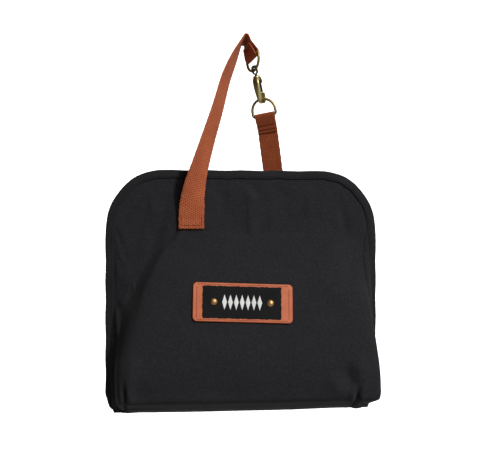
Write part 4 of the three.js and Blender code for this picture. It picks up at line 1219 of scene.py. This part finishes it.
def add_rivets(middle, across, up, out):
    """Two domed caps, each with a soft rim: rings of (radius, height) between a top and a bottom."""
    top, bottom = 2.1, -0.3
    profile = [(1.2, 2.0), (2.3, 1.6), (3.05, 1.0), (3.5, 0.35), (3.62, 0.0), (3.4, -0.25), (2.9, bottom)]
    turn = np.linspace(0, 2 * np.pi, 36, endpoint=False)[:, None]
    spokes = np.cos(turn) * across + np.sin(turn) * up
    count, last, foot = len(turn), len(profile) * len(turn), (len(profile) - 1) * len(turn)
    faces = grid_faces(len(profile), count, wrap=True)
    faces += [((i + 1) % count, i, last) for i in range(count)]
    faces += [(foot + i, foot + (i + 1) % count, last + 1) for i in range(count)]
    for name, side in (("rivet_left", -1), ("rivet_right", 1)):
        centre = middle + across * side * 27.5 + out * RIVET_OFF
        rings = [centre + spokes * radius + out * height for radius, height in profile]
        verts = np.concatenate([*rings, [centre + out * top], [centre + out * bottom]])
        make(name + "_cap", (verts, faces), GOLD_BRASS, "front_half", "antique_brass", name, sharp=60)


# ---------------------------------------------------------------- rings
def ring_line(leg, bar, bar_way, arc_way):
    """A D-ring's centre line: straight bar, two short legs and a half circle."""
    half, fillet = 11.7, 2.5
    quarter = np.linspace(0, np.pi / 2, 8)
    arc = np.linspace(0, np.pi, 40)
    right = np.stack([half - fillet + fillet * np.sin(quarter), fillet - fillet * np.cos(quarter)], axis=1)
    top = np.stack([half * np.cos(arc), leg + half * np.sin(arc)], axis=1)
    shape = np.concatenate([right, top, right[::-1] * (-1, 1), right[:1]])
    shape = resample(shape, 97)[:-1]
    return bar + shape[:, :1] * bar_way + shape[:, 1:] * arc_way


def add_rings():
    for name, leg, bar, way, arc in (
        ("upper_ring", 3.2, UPPER_BAR, UPPER_BAR_WAY, (0, 0, -1)),
        ("rear_ring", 5.5, REAR_BAR, REAR_BAR_WAY, (-0.16, -0.06, 0.985)),
    ):
        line = ring_line(leg, bar, way, square(arc, way))
        tube(name + "_wire", line, WIRE, BRASS, name, "antique_brass", name, closed=True, sides=16)


# ---------------------------------------------------------------- carried-over metal
CRISP = 32  # degrees


def refine(node, material, fine, smoothing):
    """A finer copy of a metal part: recast in fine voxels and smoothed, or with its edges bevelled that much."""
    source = frame["nodes"][node]
    body = next(b for b, nodes in frame["record"]["behaviour"]["bodies"].items() if node in nodes)
    mesh = source.data.copy()
    mesh.transform(source.matrix_world)
    work = bmesh.new()
    work.from_mesh(mesh)
    bmesh.ops.remove_doubles(work, verts=work.verts, dist=0.01 * MM)
    bmesh.ops.dissolve_limit(work, angle_limit=math.radians(1.0), verts=work.verts, edges=work.edges)
    shade(work, CRISP)
    work.to_mesh(mesh)
    work.free()
    mesh.materials.clear()
    mesh.materials.append(material)
    piece = added(node + "_finished", mesh)
    if smoothing:
        cast = piece.modifiers.new("cast", "REMESH")
        cast.mode = "VOXEL"
        cast.voxel_size = fine * MM
        cast.use_smooth_shade = True
        worn = piece.modifiers.new("worn_edges", "SMOOTH")
        worn.factor = 0.5
        worn.iterations = smoothing
    else:
        bevel = piece.modifiers.new("rounding", "BEVEL")
        bevel.width = fine * MM
        bevel.segments = 3
        bevel.limit_method = "ANGLE"
        bevel.angle_limit = math.radians(CRISP)
        bevel.harden_normals = False
    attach(piece, body)
    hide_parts(node)


def finish_metal():
    for node, material, fine, smoothing in (
        ("clasp_eye", SHADED_BRASS, 0.22, 10),
        ("clasp_body", CLASP_BRASS, 0.32, 34),
        ("clasp_gate", SHADED_BRASS, 0.22, 10),
        ("gate_pin", BRASS, 0.12, 0),
        ("gate_spring", STEEL, 0.05, 0),
        ("zip_slider", BRASS, 0.22, 10),
        ("zip_puller", BRASS, 0.2, 10),
    ):
        refine(node, material, fine, smoothing)


# ---------------------------------------------------------------- stage and light
def stage_piece(name, across, line, light, dark, glow):
    """A strip of studio paper between two x and along a line of (y, z), in metres."""
    paper = Recipe(name + "_paper", 0.95, specular=0.0)
    paper.shader.inputs["Emission Color"].default_value = (1, 1, 1, 1)
    paper.shader.inputs["Emission Strength"].default_value = glow
    paper.colour(paper.mottled(dark, light, 900, 2))
    mesh = bpy.data.meshes.new(name)
    mesh.from_pydata([(x, y, z) for x in across for y, z in line], [], grid_faces(2, len(line)))
    mesh.materials.append(paper.material)
    for face in mesh.polygons:
        face.use_smooth = True
    piece = added(name, mesh)


def add_stage():
    """A pale floor far below the hanging bag, and a white wall that curves up behind it."""
    floor_z, start, bend = -1.1, 1.6, 1.2
    floor = [(-30, floor_z), (start, floor_z)]
    stage_piece("floor", (-30, 30), floor, srgb(174, 174, 174), srgb(171, 171, 171), 0.0)
    turn = np.linspace(0, np.pi / 2, 16)
    wall = [(start + bend * math.sin(a), floor_z + bend * (1 - math.cos(a))) for a in turn]
    wall.append((start + bend, 2.2))
    stage_piece("wall", (-1.3, 1.9), wall, srgb(250, 250, 250), srgb(246, 246, 246), 0.5)


def area_light(name, at, size, power, aim=(0, 0, -0.2)):
    light = added(name, bpy.data.lights.new(name, "AREA"))
    light.data.shape = "DISK"
    light.data.size = size
    light.data.energy = power
    light.location = at
    light.rotation_euler = (Vector(aim) - Vector(at)).to_track_quat("-Z", "Y").to_euler()


def add_light():
    """Three soft lamps, and a world that is darker from below and from the left."""
    world = bpy.data.worlds.new("studio")
    bpy.context.scene.world = world
    world.use_nodes = True
    nodes, links = world.node_tree.nodes, world.node_tree.links
    way = nodes.new("ShaderNodeTexCoord")
    parts = nodes.new("ShaderNodeSeparateXYZ")
    links.new(way.outputs["Generated"], parts.inputs[0])
    strength = nodes.new("ShaderNodeMath")
    strength.operation = "MULTIPLY"
    spans = ((2, -0.5, 0.9, 0.04, 0.7), (0, -0.8, 0.7, 0.12, 0.9))
    for slot, (axis, *limits) in enumerate(spans):
        span = nodes.new("ShaderNodeMapRange")
        links.new(parts.outputs[axis], span.inputs["Value"])
        for socket, value in zip(("From Min", "From Max", "To Min", "To Max"), limits):
            span.inputs[socket].default_value = value
        links.new(span.outputs["Result"], strength.inputs[slot])
    links.new(strength.outputs[0], nodes["Background"].inputs["Strength"])
    nodes["Background"].inputs["Color"].default_value = (1, 1, 1, 1)
    area_light("key", (1.2, -1.7, 1.3), 0.35, 66)
    area_light("fill", (0.7, -2.2, 0.8), 1.0, 11)
    area_light("wall_wash", (0, 0.9, 1.8), 1.5, 60, aim=(0, 2.9, -0.3))
    view = bpy.context.scene.view_settings
    view.view_transform = "Standard"
    view.look = "None"


add_front_shell()
add_binding("front_binding", -1, "front_half")
add_binding("rear_binding", 1, "rear_cover")
add_zip_half("front", -1, "front_half")
add_zip_half("rear", 1, "rear_cover")
add_rear_panel()
add_changing_pad()
add_inner_pocket()
add_gusset()
add_zip_ends()
add_front_strap()
add_rear_tab()
add_label()
add_rings()
finish_metal()
add_stage()
add_light()
